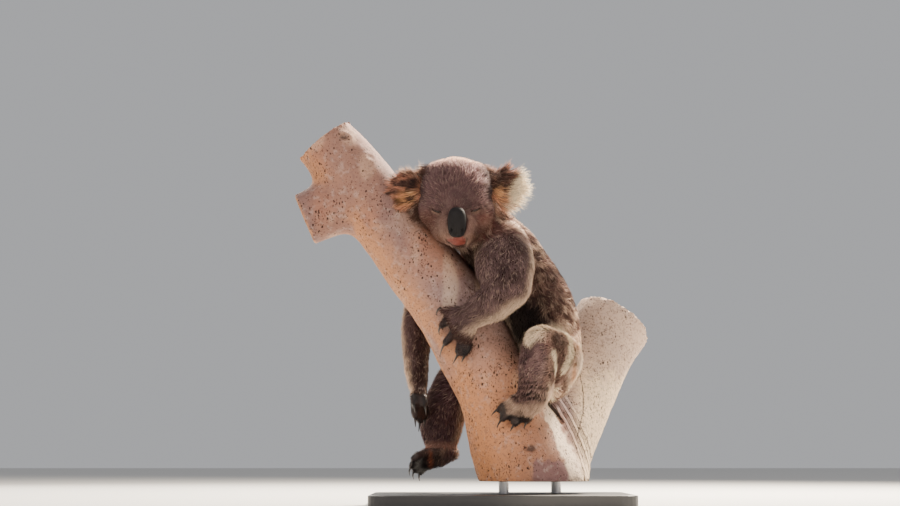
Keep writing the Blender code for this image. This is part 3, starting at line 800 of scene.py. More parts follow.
# %% Carve the face
def carve_face(points, normals):
    across, over = mouth_places(points)
    front = ramp(NOSE[1] + 0.045, NOSE[1] + 0.030, points[:, 1])
    ends = ramp(1.1, 0.7, abs(across) / MOUTH_HALF) * front
    lip = ramp(1.25, 0.80, abs(across) / LIP_HALF) * front
    move = groove(over, 0.0009, 0.0011) * ends
    move += 0.0010 * peak(over - 0.0030, 0.0022) * lip
    move += 0.0018 * peak(over + 0.0034, 0.0026) * lip
    move += groove(across - LIP_SHIFT, 0.0008, 0.0009) * front * ramp(0.0, 0.002, over) * ramp(
        0.012, 0.008, over)
    return points + normals * move[:, None]


face_points = carve_face(points_of(skin_mesh), normals_of(skin_mesh))
move_points(skin_mesh, face_points)
move_points(skin_mesh, close_lids(face_points, normals_of(skin_mesh)))
lid_moves = np.linalg.norm(points_of(skin_mesh) - face_points, axis=1)
print(f"lids and folds move the skin by up to {lid_moves.max():.4f} m")

# %% [markdown]
# ## Markings
# Skin and coat carry the same markings, so both ask one function for the colour at a
# place. A koala is grey-brown with pale-tipped hairs, cream under the arms, along the
# legs' hind edges and in mottled patches on shoulder and rump, dark round the ears,
# and near black on hands and feet. Other layers are painted light and shade: rim
# highlights on hind edges, knee, hip and crown, and shade between arm and thigh, in
# the leg's crease, under the chin and on the far limbs.

# %% Colours of the coat by place
BROWN = (0.121, 0.063, 0.055)
WARM = (0.198, 0.056, 0.030)
UMBER = (0.034, 0.017, 0.015)
SOOT = (0.012, 0.009, 0.010)
CREAM = (0.842, 0.630, 0.465)
WHITE = (1.000, 0.850, 0.620)
TAN = (0.996, 0.530, 0.244)
RUSSET = (0.741, 0.328, 0.201)
ROSE = (0.313, 0.175, 0.138)
PINK = (0.156, 0.037, 0.027)
SOLE = (0.264, 0.080, 0.040)
LID_SKIN = (0.032, 0.013, 0.009)
LID_RIM_AND_HIGHLIGHT = (0.357, 0.221, 0.162)
print("the coat's main colour", BROWN)


# %% Places on the ears
def ear_places(points, side):
    """Place on an ear in half-sizes: outwards, up, and in front of its rim."""
    middle, outward, upward, facing, half = ear_axes(side)
    half = half * EAR_SHARE[side]
    away = points - middle
    return dot(away, outward) / half[0], dot(away, upward) / half[1], dot(away, facing)


def on_ear(points, side):
    """1 on an ear, fading into the head at its root."""
    outward, upward, front = ear_places(points, side)
    near = ramp(1.30, 1.15, np.hypot(outward, upward)) * ramp(0.035, 0.028, abs(front))
    skull = np.linalg.norm((points - HEAD) / np.array([1.0, 1.0, 0.95]), axis=1)
    return near * ramp(0.064, 0.070, skull)


print("cups as a share of the ears' solids", EAR_SHARE)

# %% Lines of the left leg, and smooth noise
# Lines seen from the side, as places along and up: painted shade in the crease between
# the left shin and the thigh behind it, and painted highlights on the top and rims of that leg.
LEG_CREASE_SHADE = [(0.095, 0.288), (0.103, 0.262), (0.099, 0.232), (0.091, 0.208)]
KNEE_TOP_HIGHLIGHT = [(0.048, 0.290), (0.064, 0.306), (0.084, 0.312), (0.098, 0.308)]
KNEE_ARCH_HIGHLIGHT = [(0.098, 0.310), (0.109, 0.304), (0.119, 0.286), (0.121, 0.262), (0.112, 0.238)]
SHIN_RIM_HIGHLIGHT = [(0.090, 0.268), (0.093, 0.240), (0.090, 0.202), (0.077, 0.172)]
# Painted shade: the middle of the dark hollow between the left elbow and knee.
SHADE_POCKET = (JOINTS["left"]["elbow"] + JOINTS["left"]["knee"]) / 2 + np.array([0.0, 0.045, 0.012])


def bell(points, place, spread):
    """1 at a place, falling as a bell curve with distance."""
    return peak(np.linalg.norm(points - place, axis=1), spread)


def noise(points, spacing, seed):
    """Value noise from 0 to 1: random numbers on a grid of that spacing, blended."""
    table = np.random.default_rng(seed).random(4096)
    place = points / spacing
    cell = np.floor(place).astype(np.int64)
    t = place - cell
    t = t * t * (3 - 2 * t)
    total = np.zeros(len(points))
    for dx, dy, dz in np.ndindex(2, 2, 2):
        key = ((cell[:, 0] + dx) * 73856093) ^ ((cell[:, 1] + dy) * 19349663)
        key ^= (cell[:, 2] + dz) * 83492791
        share = (t[:, 0] if dx else 1 - t[:, 0]) * (t[:, 1] if dy else 1 - t[:, 1])
        total += table[key % 4096] * share * (t[:, 2] if dz else 1 - t[:, 2])
    return total


def line_distance(points, line):
    """Distance from a bent line, seen from the side."""
    places = points[:, [0, 2]]
    return np.min([to_line(places, *ends)[1] for ends in zip(line, line[1:])], axis=0)


print(f"lines of the left leg: {len(LEG_CREASE_SHADE + KNEE_TOP_HIGHLIGHT + KNEE_ARCH_HIGHLIGHT + SHIN_RIM_HIGHLIGHT)} places")


# %% Layers of paint
class Paint:
    """Colours at many places, laid one layer over another."""

    def __init__(self, points, normals, base):
        self.points, self.normals = points, normals
        self.x, self.y, self.z = points.T
        self.nx, self.ny, self.nz = normals.T
        self.colour = np.tile(np.array(base), (len(points), 1))

    @functools.cached_property
    def shares(self):
        return bone_shares(self.points)

    def part(self, *names):
        """The summed share of these regions' bones."""
        return self.shares[:, [region.startswith(names) for region in REGIONS]].sum(1)

    def noise(self, spacing, seed, stretch=(1, 1, 1)):
        return noise(self.points * np.array(stretch), spacing, seed)

    def faces(self, *direction):
        """1 where the surface looks in this direction, and -1 where it looks away."""
        return self.normals @ unit(np.array(direction))

    def near_line(self, line, wide, narrow, uneven=0.0):
        """1 within `narrow` of a bent line, and 0 beyond `wide`."""
        return ramp(wide, narrow, line_distance(self.points, line) + uneven)

    def lay(self, colour, share):
        self.colour = mix(self.colour, colour, share)


def markings(points, normals):
    """Colours of the whole coat, one layer over another."""
    p = Paint(points, normals, BROWN)
    coarse = p.noise(0.022, 1) * 0.6 + p.noise(0.009, 2) * 0.4
    p.lay(UMBER, ramp(0.50, 0.80, coarse) * 0.6)
    p.lay(ROSE, ramp(0.45, 0.20, coarse) * 0.35)
    mark_trunk(p)
    mark_arms(p)
    mark_legs(p)
    # Painted shade: near black in the hollow between the left arm and the thigh.
    near = p.part("trunk") + 0.5 * p.part("arm", "thigh", "shin")
    p.lay(SOOT, np.clip(1.7 * bell(points, SHADE_POCKET, 0.044) * near, 0, 0.95))
    mark_paws(p)
    mark_face(p)
    return p.colour


print("layers: body, arms, legs, paws, face")


# %% Markings of the body
def mark_trunk(p):
    """Cream curls on shoulder and rump, a pale belly, and a painted rim highlight on the hip."""
    trunk = p.part("trunk", "neck")
    curls = p.noise(0.0085, 3) * 0.65 + p.noise(0.0045, 4) * 0.35
    shoulder = bell(p.points, COLLAR + np.array([0.034, -0.050, -0.010]), 0.062)
    spots = ramp(0.50, 0.64, curls + 0.07 * shoulder)
    rump = ramp(0.40, 0.27, p.z) * ramp(0.05, 0.10, p.x)
    back = ramp(0.2, 0.8, p.faces(0.8, 0.0, 0.5))
    p.lay((0.400, 0.210, 0.160), (0.35 * shoulder + 0.25 * rump) * trunk)
    p.lay(CREAM, spots * np.clip(trunk * (0.08 + 0.95 * shoulder + 0.05 * back + rump), 0, 0.93))
    p.lay(UMBER, ramp(0.50, 0.38, curls) * trunk * (0.75 - 0.3 * shoulder - 0.3 * rump))
    # Painted rim highlight on the hip's back edge: pale brown, and near white where it faces back.
    hip = ramp(0.116, 0.124, p.x) * ramp(0.300, 0.285, p.z)
    p.lay(mix(CREAM, BROWN, 0.45), hip * trunk * 0.8)
    p.lay(WHITE, hip * ramp(0.70, 0.95, p.faces(1.0, 0.0, -0.1)) * trunk * 0.8)
    p.lay(CREAM, trunk * ramp(0.2, 0.9, p.faces(-0.85, 0.0, -0.45)) * 0.5)


print("markings of the body")


# %% Markings of the arms
def mark_arms(p):
    """Pale undersides, a painted rim highlight on the hind edges, and painted shade on the far
    arm.
    """
    arms = p.part("arm", "forearm")
    under = ramp(-0.15, -0.80, p.nz) * ramp(-0.5, 0.4, p.nx)
    p.lay(p.colour * (0.95, 1.12, 1.30), arms)
    wrist = ramp(0.02, 0.25, p.part("hand_left"))
    # Cream on the pale undersides, and on hind-facing fur as a painted rim highlight.
    pale = np.clip(under * 0.80 + ramp(0.60, 0.97, p.nx) * 0.45, 0, 0.80)
    p.lay(CREAM, pale * (1 - 0.85 * wrist) * arms)
    far = p.part("arm_right", "forearm_right", "hand_right")
    # Painted shade: the far arm dark on its hind-facing side.
    p.lay(np.array(UMBER) * 1.3, far * ramp(-0.45, 0.25, p.nx) * 0.80)
    low = ramp(0.30, 0.21, p.z) * ramp(-0.2, -0.8, p.nx)
    p.lay(CREAM, far * (0.65 * low + 0.45 * ramp(-0.65, -0.95, p.nx)))


print("markings of the arms")


# %% Markings of the legs
def mark_legs(p):
    """Cream insides and hind edges, painted knee and rim highlights, dark shin waves, painted
    crease and far-leg shade.
    """
    legs, thigh = p.part("thigh", "shin"), p.part("thigh_left")
    p.lay(p.colour * (1.20, 1.35, 1.60), legs)
    # Hind-facing leg fur: a pale hind edge, made brighter as a painted rim highlight.
    hind = ramp(0.45, 0.85, p.nx)
    under = ramp(0.0, -0.7, p.nz) * ramp(-0.5, 0.4, p.nx)
    knee = bell(p.points, JOINTS["left"]["knee"] + np.array([0.010, -0.020, 0.030]), 0.045)
    # Painted highlight: cream on the upward-facing tops of the legs, most at the left knee.
    top = ramp(0.10, 0.60, p.nz + 0.2 * p.nx) * (0.25 + knee)
    p.lay(CREAM, np.clip(hind * (0.92 - 0.4 * thigh) + top + under * 0.3, 0, 0.92) * legs)
    shins = p.part("shin") * ramp(0.9, 0.6, hind)
    waves = 0.5 + 0.5 * np.sin(p.z * 760 + 9 * p.noise(0.014, 5) + 60 * p.x)
    low = ramp(0.29, 0.22, p.z) * ramp(0.174, 0.188, p.z)
    p.lay(SOOT, ramp(0.50, 0.80, waves) * shins * (0.35 + 0.60 * low))
    p.lay(ROSE, ramp(0.45, 0.1, waves) * shins * 0.45)
    left = np.clip(1.5 * thigh + p.part("shin_left") * ramp(0.60, 0.30, p.nx), 0, 1)
    outside = ramp(0.3, 0.0, p.ny)
    left *= outside
    # Painted shade in the crease between the left shin and the thigh behind it.
    p.lay(mix(ROSE, BROWN, 0.3), p.near_line(LEG_CREASE_SHADE, 0.024, 0.016) * left * 0.75)
    p.lay(mix(UMBER, ROSE, 0.30), p.near_line(LEG_CREASE_SHADE, 0.0115, 0.0060) * left * 0.90)
    near = p.part("thigh_left", "shin_left", "trunk") * outside
    behind = ramp(0.123, 0.128, p.x) * ramp(0.31, 0.30, p.z) * ramp(0.98, 0.80, p.nx)
    p.lay(mix(ROSE, TAN, 0.40), behind * near * 0.85)
    # Painted highlights: near white along the left knee's top, its arch and the shin's rim.
    uneven = 0.003 * (p.noise(0.005, 10) - 0.5)
    p.lay(mix(WHITE, CREAM, 0.4), p.near_line(KNEE_TOP_HIGHLIGHT, 0.015, 0.005, 2 * uneven) * near * 0.95)
    rims = np.maximum(p.near_line(KNEE_ARCH_HIGHLIGHT, 0.0065, 0.0020, uneven),
                      p.near_line(SHIN_RIM_HIGHLIGHT, 0.0045, 0.0012, uneven))
    p.lay(WHITE, rims * near * 0.93)
    # Painted shade: the far leg darker, in a dull purple brown.
    p.lay((0.054, 0.027, 0.036), p.part("thigh_right", "shin_right") * 0.6)


print("markings of the legs")


# %% Markings of hands and feet
def mark_paws(p):
    """Pale furry insteps, near-black digits and soles, and painted shade on the far paws."""
    hands, feet = p.part("hand"), p.part("foot")
    p.lay(mix(BROWN, UMBER, 0.60), ramp(0.1, 0.4, hands) * 0.95)
    # Painted shade: the far hand near black.
    p.lay(SOOT, ramp(0.45, 0.85, p.part("hand_right")) * 0.75)
    ankle = ramp(0.187, 0.172, p.z) * p.part("shin_left")
    pale = 0.50 + 0.4 * ramp(0.25, 0.55, p.noise(0.008, 8))
    p.lay(mix(CREAM, ROSE, 0.45), np.maximum(ramp(0.14, 0.36, feet), ankle) * pale)
    far = ramp(0.12, 0.30, p.part("foot_right"))
    away = (p.points - JOINTS["right"]["ankle"]).T
    # Painted shade: the far foot dark.
    p.lay((0.050, 0.028, 0.028), far * 0.92)
    cuff = ramp(0.010, 0.004, abs(away[2] - 0.002))
    p.lay(ROSE, cuff * p.part("foot_right", "shin_right") * 0.8)
    digits = mix(SOOT, UMBER, 0.6 * ramp(0.35, 0.65, p.noise(0.006, 11)))
    for part in DIGIT_REACH:
        p.lay(digits, on_digits(p.points, part) * 0.96)
    p.lay(SOOT, ramp(-0.2, -0.6, p.nz) * ramp(0.5, 0.8, feet) * 0.9)
    across, up = away[0] + 0.020, away[2] + 0.026
    stripe = peak(across + 0.12 * up, 0.0034) * peak(up, 0.016)
    p.lay(SOLE, np.clip(1.3 * stripe * far * (p.ny < 0.2), 0, 0.9))


print("markings of hands and feet")

# %% Markings of the ears
# Each ear's patches: middle and spread, outwards and up, in half-sizes of the cup.
EAR_TAN = {"left": (-0.25, -0.29, 0.42, 0.46), "right": (0.14, -0.56, 0.44, 0.38)}
EAR_DARK = {"left": (-0.65, 0.50, 0.66, 0.50), "right": (-0.45, 0.30, 0.50, 0.60)}
EAR_TUFT = {"left": (-0.45, 1.10, 0.75, 0.40), "right": (0.80, -0.78, 0.34, 0.26)}


def ear_spot(outward, upward, middle_and_spread):
    x, z, wide, high = middle_and_spread
    return peak(outward - x, wide) * peak(upward - z, high)


def ear_fur(points, side):
    """Colours of an ear's hair: tan and dark patches inside, and a pale fringe."""
    outward, upward, front = ear_places(points, side)
    streaks = noise(points * np.array([0.6, 1.0, 1.6]), 0.007, 9)
    fur = mix(BROWN, RUSSET, ramp(0.68, 0.36, streaks) * 0.90)
    fur = mix(fur, UMBER, ramp(0.58, 0.78, streaks) * 0.7)
    inner = ramp(-0.010, -0.002, front)
    fur = mix(fur, TAN, inner * np.clip(2.0 * ear_spot(outward, upward, EAR_TAN[side]), 0, 1))
    fur = mix(fur, SOOT, np.clip(1.7 * ear_spot(outward, upward, EAR_DARK[side]), 0, 0.97))
    if side == "left":
        edge = 0.08 + 0.85 * ramp(0.1, 0.9, upward)
        fur = mix(fur, WHITE, ramp(0.0, 0.40, outward - edge + 0.15 * streaks) * 0.97)
        return mix(fur, BROWN, ear_spot(outward, upward, EAR_TUFT[side]) * 0.9)
    fur = mix(fur, CREAM, ramp(0.90, 1.25, upward) * 0.70)
    return mix(fur, SOOT, np.clip(1.3 * ear_spot(outward, upward, EAR_TUFT[side]), 0, 0.9))


print("markings of the ears")


# %% Markings of the head
def mark_face(p):
    """A frosted crown with a painted highlight on top, warm cheeks, painted shade on the chin and
    throat, the ears and the lids.
    """
    head = p.part("head")
    reach = face_reach(p.points)
    speckle = p.noise(0.006, 6) * 0.5 + p.noise(0.020, 7) * 0.5
    crown = mix(np.array(BROWN) * (1.50, 1.65, 1.90), UMBER, ramp(0.50, 0.85, speckle) * 0.35)
    # Painted highlight: the top of the crown paler.
    p.lay(mix(crown, (0.76, 0.43, 0.22), ramp(0.584, 0.604, p.z) * 0.40), head)
    aside = p.x - NOSE[0]
    off_middle = abs(aside)
    cheek = ramp(0.018, 0.045, off_middle) * ramp(0.525, 0.495, p.z)
    warm = mix(np.array(WARM) * 1.15, (0.084, 0.020, 0.008), ramp(0.005, -0.005, aside))
    p.lay(warm, head * cheek * 0.90)
    beside = peak(off_middle - 0.0205, 0.0045) * ramp(0.045, 0.036, reach)
    beside *= (p.ny < 0) * ramp(NOSE_BOX[1][2], NOSE_BOX[1][2] - 0.012, p.z)
    p.lay(ROSE, head * beside * 0.6)
    low = p.z - NOSE_BOX[0][2]
    jaw = ramp(0.055, 0.030, off_middle) * ramp(-0.004, 0.002, low) * ramp(0.020, 0.010, low)
    p.lay((0.31, 0.125, 0.060), head * jaw * 0.45 * ramp(0.075, 0.055, reach))
    _, over = mouth_places(p.points)
    # Painted shade: near black under the lip, on the chin.
    chin = ramp(-0.004, -0.008, over) * ramp(0.062, 0.045, reach)
    p.lay((0.026, 0.010, 0.007), head * chin * 0.97)
    # Painted shade: dark on the throat below the chin, off the arm.
    below = np.hypot(aside - 0.018, p.z - NOSE[2] + 0.050)
    throat = ramp(0.044, 0.024, below) * (p.ny < 0.3) * ramp(-0.002, -0.006, over)
    p.lay(UMBER, 0.95 * throat * (1 - p.part("arm_left")))
    for side, root, wide in (("left", 1.45, 0.62), ("right", 1.15, 0.46)):
        outward, upward, front = ear_places(p.points, side)
        p.lay(ear_fur(p.points, side), on_ear(p.points, side))
        base = peak(outward + root, wide) * ramp(1.3, 0.8, abs(upward - 0.2))
        p.lay(SOOT, base * head * 0.85 * ramp(-0.03, -0.01, front))
        across, up, front, _ = lid_places(p.points, side)
        above, share = up - slit_height(across), abs(across) / SLIT_HALF
        at_eye = (front > 0.002) & (front < 0.020)
        # A pale band on the lower lid's rim: partly its skin colour, partly a painted highlight.
        rim = peak(above + 0.0028, 0.0009) * ramp(1.25, 0.9, share)
        p.lay(LID_RIM_AND_HIGHLIGHT, 0.75 * rim * at_eye)
        p.lay(LID_SKIN, ramp(0.0019, 0.0011, abs(above)) * ramp(1.15, 0.95, share) * at_eye)
    p.lay(mix(PINK, (0.13, 0.028, 0.020), ramp(0.0009, 0.0, abs(over))), bare_lip(p.points))


print("markings of the head")


# %% Paint the skin
def paint_points(mesh, name, colours):
    """Stores one colour for each point."""
    layer = mesh.color_attributes.new(name, "FLOAT_COLOR", "POINT")
    table = np.ones((len(mesh.vertices), 4), dtype=np.float32)
    table[:, :3] = colours
    layer.data.foreach_set("color", table.ravel())


def mark_points(mesh, name, values):
    """Stores one number for each point."""
    layer = mesh.attributes.new(name, "FLOAT", "POINT")
    layer.data.foreach_set("value", np.asarray(values, dtype=np.float32))


def placed(name, mesh, finish, slot, *nodes):
    """A finished piece on the one body. It stands for the named solids, if any."""
    mesh.materials.append(finish.material)
    piece = linked(bpy.data.objects.new(name, mesh))
    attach(piece, "root")
    if nodes:
        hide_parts(*nodes)
    print(f"{name}: {len(mesh.polygons)} faces")


skin_points, skin_normals = points_of(skin_mesh), normals_of(skin_mesh)
skin_colours = markings(skin_points, skin_normals)
bare_skin = np.clip(bare_lip(skin_points) + all_digits(skin_points), 0, 1)
skin_mesh.shade_smooth()
# Painted shade: skin under the coat is half as bright, so gaps between locks read as shadow; bare
# lip and digits are not darkened.
paint_points(skin_mesh, "coat", skin_colours * mix([[1.0]], [[0.50]], 1 - bare_skin))
mark_points(skin_mesh, "bare", bare_skin)
SKIN_FINISH = Finish("skin", roughness=0.75, Specular_IOR_Level=0.25)
SKIN_FINISH.wear(
    Base_Color=SKIN_FINISH.attribute("coat", "Color"),
    Roughness=SKIN_FINISH.node("MapRange", "Result", Value=SKIN_FINISH.attribute("bare"),
                               To_Min=0.85, To_Max=0.48))
SKIN_FINISH.bump(SKIN_FINISH.node("TexVoronoi", "Distance", Vector=SKIN_FINISH.places(),
                                  Scale=700.0), 0.4, 0.0006)
placed("skin", skin_mesh, SKIN_FINISH, "fur", *FLESH, *EARS)
print(f"skin painted, mean colour {skin_colours.mean(0).round(3).tolist()}")

# %% [markdown]
# ## Coat
# Each lock of hair is a thin closed spike of three-cornered rings that ends in a
# point. Its root sits in the skin. Its middle line leaves the skin, curves over, and
# lies along the body. Locks are scattered over the skin by area, thousands at a
# time, and grown in joined meshes, one for each region of the body. Hair curves
# would be lighter, but solid locks look the same in every program.

# %% Triangles of the skin
def triangles_of(mesh):
    """Corner indices, areas, middles and normals of the mesh's triangles."""
    mesh.calc_loop_triangles()
    flat = np.empty(len(mesh.loop_triangles) * 3, dtype=np.int32)
    mesh.loop_triangles.foreach_get("vertices", flat)
    triangles = flat.reshape(-1, 3)
    corners = points_of(mesh)[triangles]
    cross = np.cross(corners[:, 1] - corners[:, 0], corners[:, 2] - corners[:, 0])
    return triangles, np.linalg.norm(cross, axis=1) / 2, corners.mean(1), unit(cross)


SKIN_TRIANGLES, SKIN_AREAS, SKIN_MIDDLES, FACE_NORMALS = triangles_of(skin_mesh)
print(f"{SKIN_AREAS.sum():.3f} square metres of skin")

# %% Skin that lies free of the bark
# The limb's own middle line, to know which hairs would grow into the bark.
LIMB_LINE = [((-0.380, 0.0, 0.735), 0.055), ((-0.153, 0.0, 0.441), 0.068),
             ((-0.048, 0.0, 0.284), 0.073), ((0.026, 0.0, 0.106), 0.085),
             ((0.075, 0.0, 0.0), 0.100)]


def bark_depth(points):
    """How far each point lies inside the bark of the main limb."""
    inside = []
    for (start, r0), (end, r1) in zip(LIMB_LINE, LIMB_LINE[1:]):
        t, reach = to_line(points, start, end)
        inside.append(r0 + (r1 - r0) * t - reach)
    return np.max(inside, axis=0)


NEAREST = np.argmin(bone_distances(SKIN_MIDDLES), axis=1)
REGION_OF = np.array(REGIONS)[NEAREST]
EAR_OF = {side: on_ear(SKIN_MIDDLES, side) > 0.5 for side in SIDES}
REACH = coat_depth(SKIN_MIDDLES)[:, None] + 0.003
FREE = bark_depth(SKIN_MIDDLES + FACE_NORMALS * REACH) < 0.0
print(f"{FREE.sum()} of {len(FREE)} triangles lie free of the bark")


# %% Scatter roots over the skin
def scattered(wanted, count, rng):
    """Roots and smooth normals at random barycentric places on the wanted triangles."""
    weights = SKIN_AREAS * wanted
    picks = rng.choice(len(weights), size=count, p=weights / weights.sum())
    a, b = rng.random(count), rng.random(count)
    over = a + b > 1
    a[over], b[over] = 1 - a[over], 1 - b[over]
    shares = np.stack([1 - a - b, a, b], axis=1)[..., None]
    corners = SKIN_TRIANGLES[picks]
    roots = (skin_points[corners] * shares).sum(1)
    normals = unit((skin_normals[corners] * shares).sum(1))
    return roots, normals


print("roots are scattered by area")

# %% Grow locks from their roots
LOCK_EMBED = 0.0008           # how deep a root sits in the skin
PATCH = 0.003                 # a lock's patch on the map
TRIANGLE = np.array([[-0.5, 0.0], [0.5, 0.0], [0.0, 0.45]])   # across, out
COAT_FINISH = Finish("coat", roughness=0.80, Specular_IOR_Level=0.12)
COAT_FINISH.wear(Base_Color=COAT_FINISH.attribute("coat", "Color"))


def grow_locks(name, slot, roots, normals, along, length, width, rise, bend, colours, chart,
               steps=(0.0, 0.40)):
    """One piece of coat, of all these locks.

    At share t of its length the middle of a lock is root + along * length * t
    + normal * rise * (2t - t squared) + across * bend * t squared. A ring of three
    corners stands at each step, and one point ends it.
    """
    count = len(roots)
    across = np.cross(normals, along)[:, None]
    steps = np.array([*steps, 1.0])
    t = steps[None, :, None]
    length, width, rise, bend = (table[:, None, None] for table in (length, width, rise, bend))
    normals = normals[:, None]
    middle = (roots[:, None] + along[:, None] * length * t + across * bend * t**2
              + normals * (rise * (2 * t - t**2) - LOCK_EMBED * (1 - t)))
    rings = len(steps) - 1
    offsets = across * TRIANGLE[:, 0, None] + normals * TRIANGLE[:, 1, None]
    shape = (1 - 0.55 * steps[:rings])[:, None, None]
    corners = middle[:, :rings, None] + offsets[:, None] * width[..., None] * shape
    points = np.concatenate([corners.reshape(count, -1, 3), middle[:, rings:]], axis=1)
    k = np.arange(3)
    n = (k + 1) % 3
    sides = [np.stack([r * 3 + k, r * 3 + n, r * 3 + 3 + n, r * 3 + 3 + k], axis=1).ravel()
             for r in range(rings - 1)]
    last = (rings - 1) * 3
    tip = np.stack([last + k, last + n, np.full(3, rings * 3)], axis=1).ravel()
    pattern = np.concatenate([*sides, tip, [2, 1, 0]])
    sizes = np.concatenate([np.full(3 * (rings - 1), 4), np.full(4, 3)])
    loops = (np.arange(count)[:, None] * points.shape[1] + pattern).ravel()
    mesh = mesh_of(name, points.reshape(-1, 3), loops, np.tile(sizes, count))
    share = np.concatenate([np.repeat(steps[:-1], 3), [1.0]])
    root_colour, tip_colour = colours
    shade = mix(root_colour[:, None], tip_colour[:, None], np.tile(share**0.8, (count, 1)))
    paint_points(mesh, "coat", shade.reshape(-1, 3))
    aside = np.concatenate([np.tile([-0.5, 0.5, 0.0], rings), [0.0]])
    places = chart[:, None] + PATCH * np.stack([aside, share - 0.5], axis=1)
    layer = mesh.uv_layers.new(name="OFBake")
    layer.data.foreach_set("uv", places[:, pattern].astype(np.float32).ravel())
    placed(name, mesh, COAT_FINISH, slot)


print(f"a lock's map patch is {PATCH} across, and its root is {LOCK_EMBED} m deep")


# %% Unwrap round an axis
def chart_round(points, start, end):
    """An unwrap round an axis: the turn about it, and the place along it."""
    along = unit(end - start)
    first = unit(np.cross(along, np.array([0.3, 0.8, 0.1])))
    second = np.cross(along, first)
    away = points - start
    turn = np.arctan2(dot(away, second), dot(away, first)) / math.tau + 0.5
    reach = dot(away, along)
    reach = (reach - reach.min()) / (reach.max() - reach.min())
    return 0.01 + 0.98 * np.stack([turn, reach], axis=1)


print("a lock's patch lies where its root lies round the bone")

# %% Lengths, widths and colours of the locks
BRIGHTEST = 0.94              # no hair is paler than this


def lock_lengths(points):
    """Blends the bones' lengths, and on the head grows from the nose to the nape."""
    shares = bone_shares(points)
    length = shares @ np.array([bone[5] for bone in BONES])
    reach = face_reach(points)
    face = 0.0036 + 0.0114 * ramp(0.025, 0.115, reach)
    length = length * (1 - shares[:, -1]) + face * shares[:, -1]
    length *= 1 - 0.55 * near_eyes(points, 0.006)
    length *= 1 - 0.45 * ramp(0.008, 0.0, lip_distance(points))
    return length * (1 - 0.62 * all_digits(points))


def shaded(root, tip, rng):
    """Root colours made darker, and tip colours uneven with a few frosted tips."""
    bright = rng.lognormal(0.0, 0.15, len(root))[:, None]
    frost = (rng.random(len(root)) < 0.10)[:, None] * ramp(0.03, 0.07, tip[:, :1])
    tip = tip * (1.15 * bright)
    tip = tip * (1 - 0.35 * frost) + np.array(CREAM) * 0.35 * frost
    tip = tip * np.minimum(BRIGHTEST / tip.max(1, keepdims=True), 1)
    return root * (0.60 + 0.2 * root) * bright**0.5, tip


def grow_region(name, wanted, count, axis, seed, slot="fur", thin=1.0, curl=1.3, ruffle=0.22):
    rng = np.random.default_rng(seed)
    roots, normals = scattered(wanted, count, rng)
    along = lie_of(roots, normals)
    swirl = (noise(roots, 0.012, 50) - 0.5) * curl + rng.normal(0, ruffle, count)
    across = np.cross(normals, along)
    along = unit(along * np.cos(swirl)[:, None] + across * np.sin(swirl)[:, None])
    length = lock_lengths(roots) * rng.uniform(0.7, 1.25, count)
    width = np.clip(length * 0.115, 0.0005, 0.0018) * thin * rng.uniform(0.8, 1.3, count)
    rise = coat_depth(roots) * rng.uniform(0.62, 1.12, count)
    bend = length * rng.normal(0, 0.12 * curl, count)
    colour = markings(roots, normals)
    grow_locks(name, slot, roots, normals, along, length, width, rise, bend,
               shaded(colour, colour, rng), chart_round(roots, *axis))


print("lock lengths", {bone[0]: bone[5] for bone in BONES if "right" not in bone[0]})


# %% Coat of the head
def area(*names):
    """The free triangles of these regions, without the ears."""
    return np.isin(REGION_OF, names) & ~EAR_OF["left"] & ~EAR_OF["right"] & FREE


IN_FRONT = face_reach(SKIN_MIDDLES)
SLITS = np.zeros(len(SKIN_MIDDLES), dtype=bool)
for side in SIDES:
    across, up, front, _ = lid_places(SKIN_MIDDLES, side)
    SLITS |= (abs(up - slit_height(across)) < 0.0021) & (abs(across) < SLIT_HALF * 1.1) & (
        front > 0.0) & (front < 0.020)
NOSE_AREA = np.linalg.norm((SKIN_MIDDLES - NOSE) / (NOSE_HALF * 1.02), axis=1) < 1.0
LIP_AREA = (mouth_places(SKIN_MIDDLES)[1] > -0.0075) & (lip_distance(SKIN_MIDDLES) < 0.0020)
LIP_AREA |= bare_lip(SKIN_MIDDLES) >= 0.3
FACE_AREA = area("head") & (IN_FRONT < 0.062) & ~LIP_AREA & ~NOSE_AREA & ~SLITS
CROWN_AREA = area("head") & (IN_FRONT >= 0.062)
HEAD_AXIS = (HEAD, NOSE)
grow_region("coat_face", FACE_AREA, 15500, HEAD_AXIS, 11, thin=0.75, ruffle=0.16)
grow_region("coat_crown", CROWN_AREA, 14500, HEAD_AXIS, 12, thin=0.85)

# %% Coat of the body
BACKWARDS = FACE_NORMALS @ unit(np.array([0.85, 0.0, 0.45]))
BACK_AXIS = (SPINE[0], SPINE[-1])
TRUNK_AREA = area("trunk", "neck")
UPPER = SKIN_MIDDLES[:, 2] > SPINE[2][2]
BACK = TRUNK_AREA & (BACKWARDS > 0.2)
grow_region("coat_shoulders", BACK & UPPER, 14000, BACK_AXIS, 13, curl=2.8)
grow_region("coat_rump", BACK & ~UPPER, 11500, BACK_AXIS, 14, curl=2.8)
grow_region("coat_flanks", TRUNK_AREA & ~BACK, 12800, BACK_AXIS, 15, curl=2.0)
LIMBS = {"arm": ("shoulder", "elbow", (9500, 7800)), "forearm": ("elbow", "wrist", (4200, 4200)),
         "thigh": ("hip", "knee", (8000, 7500)), "shin": ("knee", "ankle", (5200, 5000))}
for k, side in enumerate(SIDES):
    for part, (near, far, counts) in LIMBS.items():
        grow_region(f"coat_{part}_{side}", area(f"{part}_{side}"), counts[k],
                    (JOINTS[side][near], JOINTS[side][far]), 20 + k + 2 * len(part))

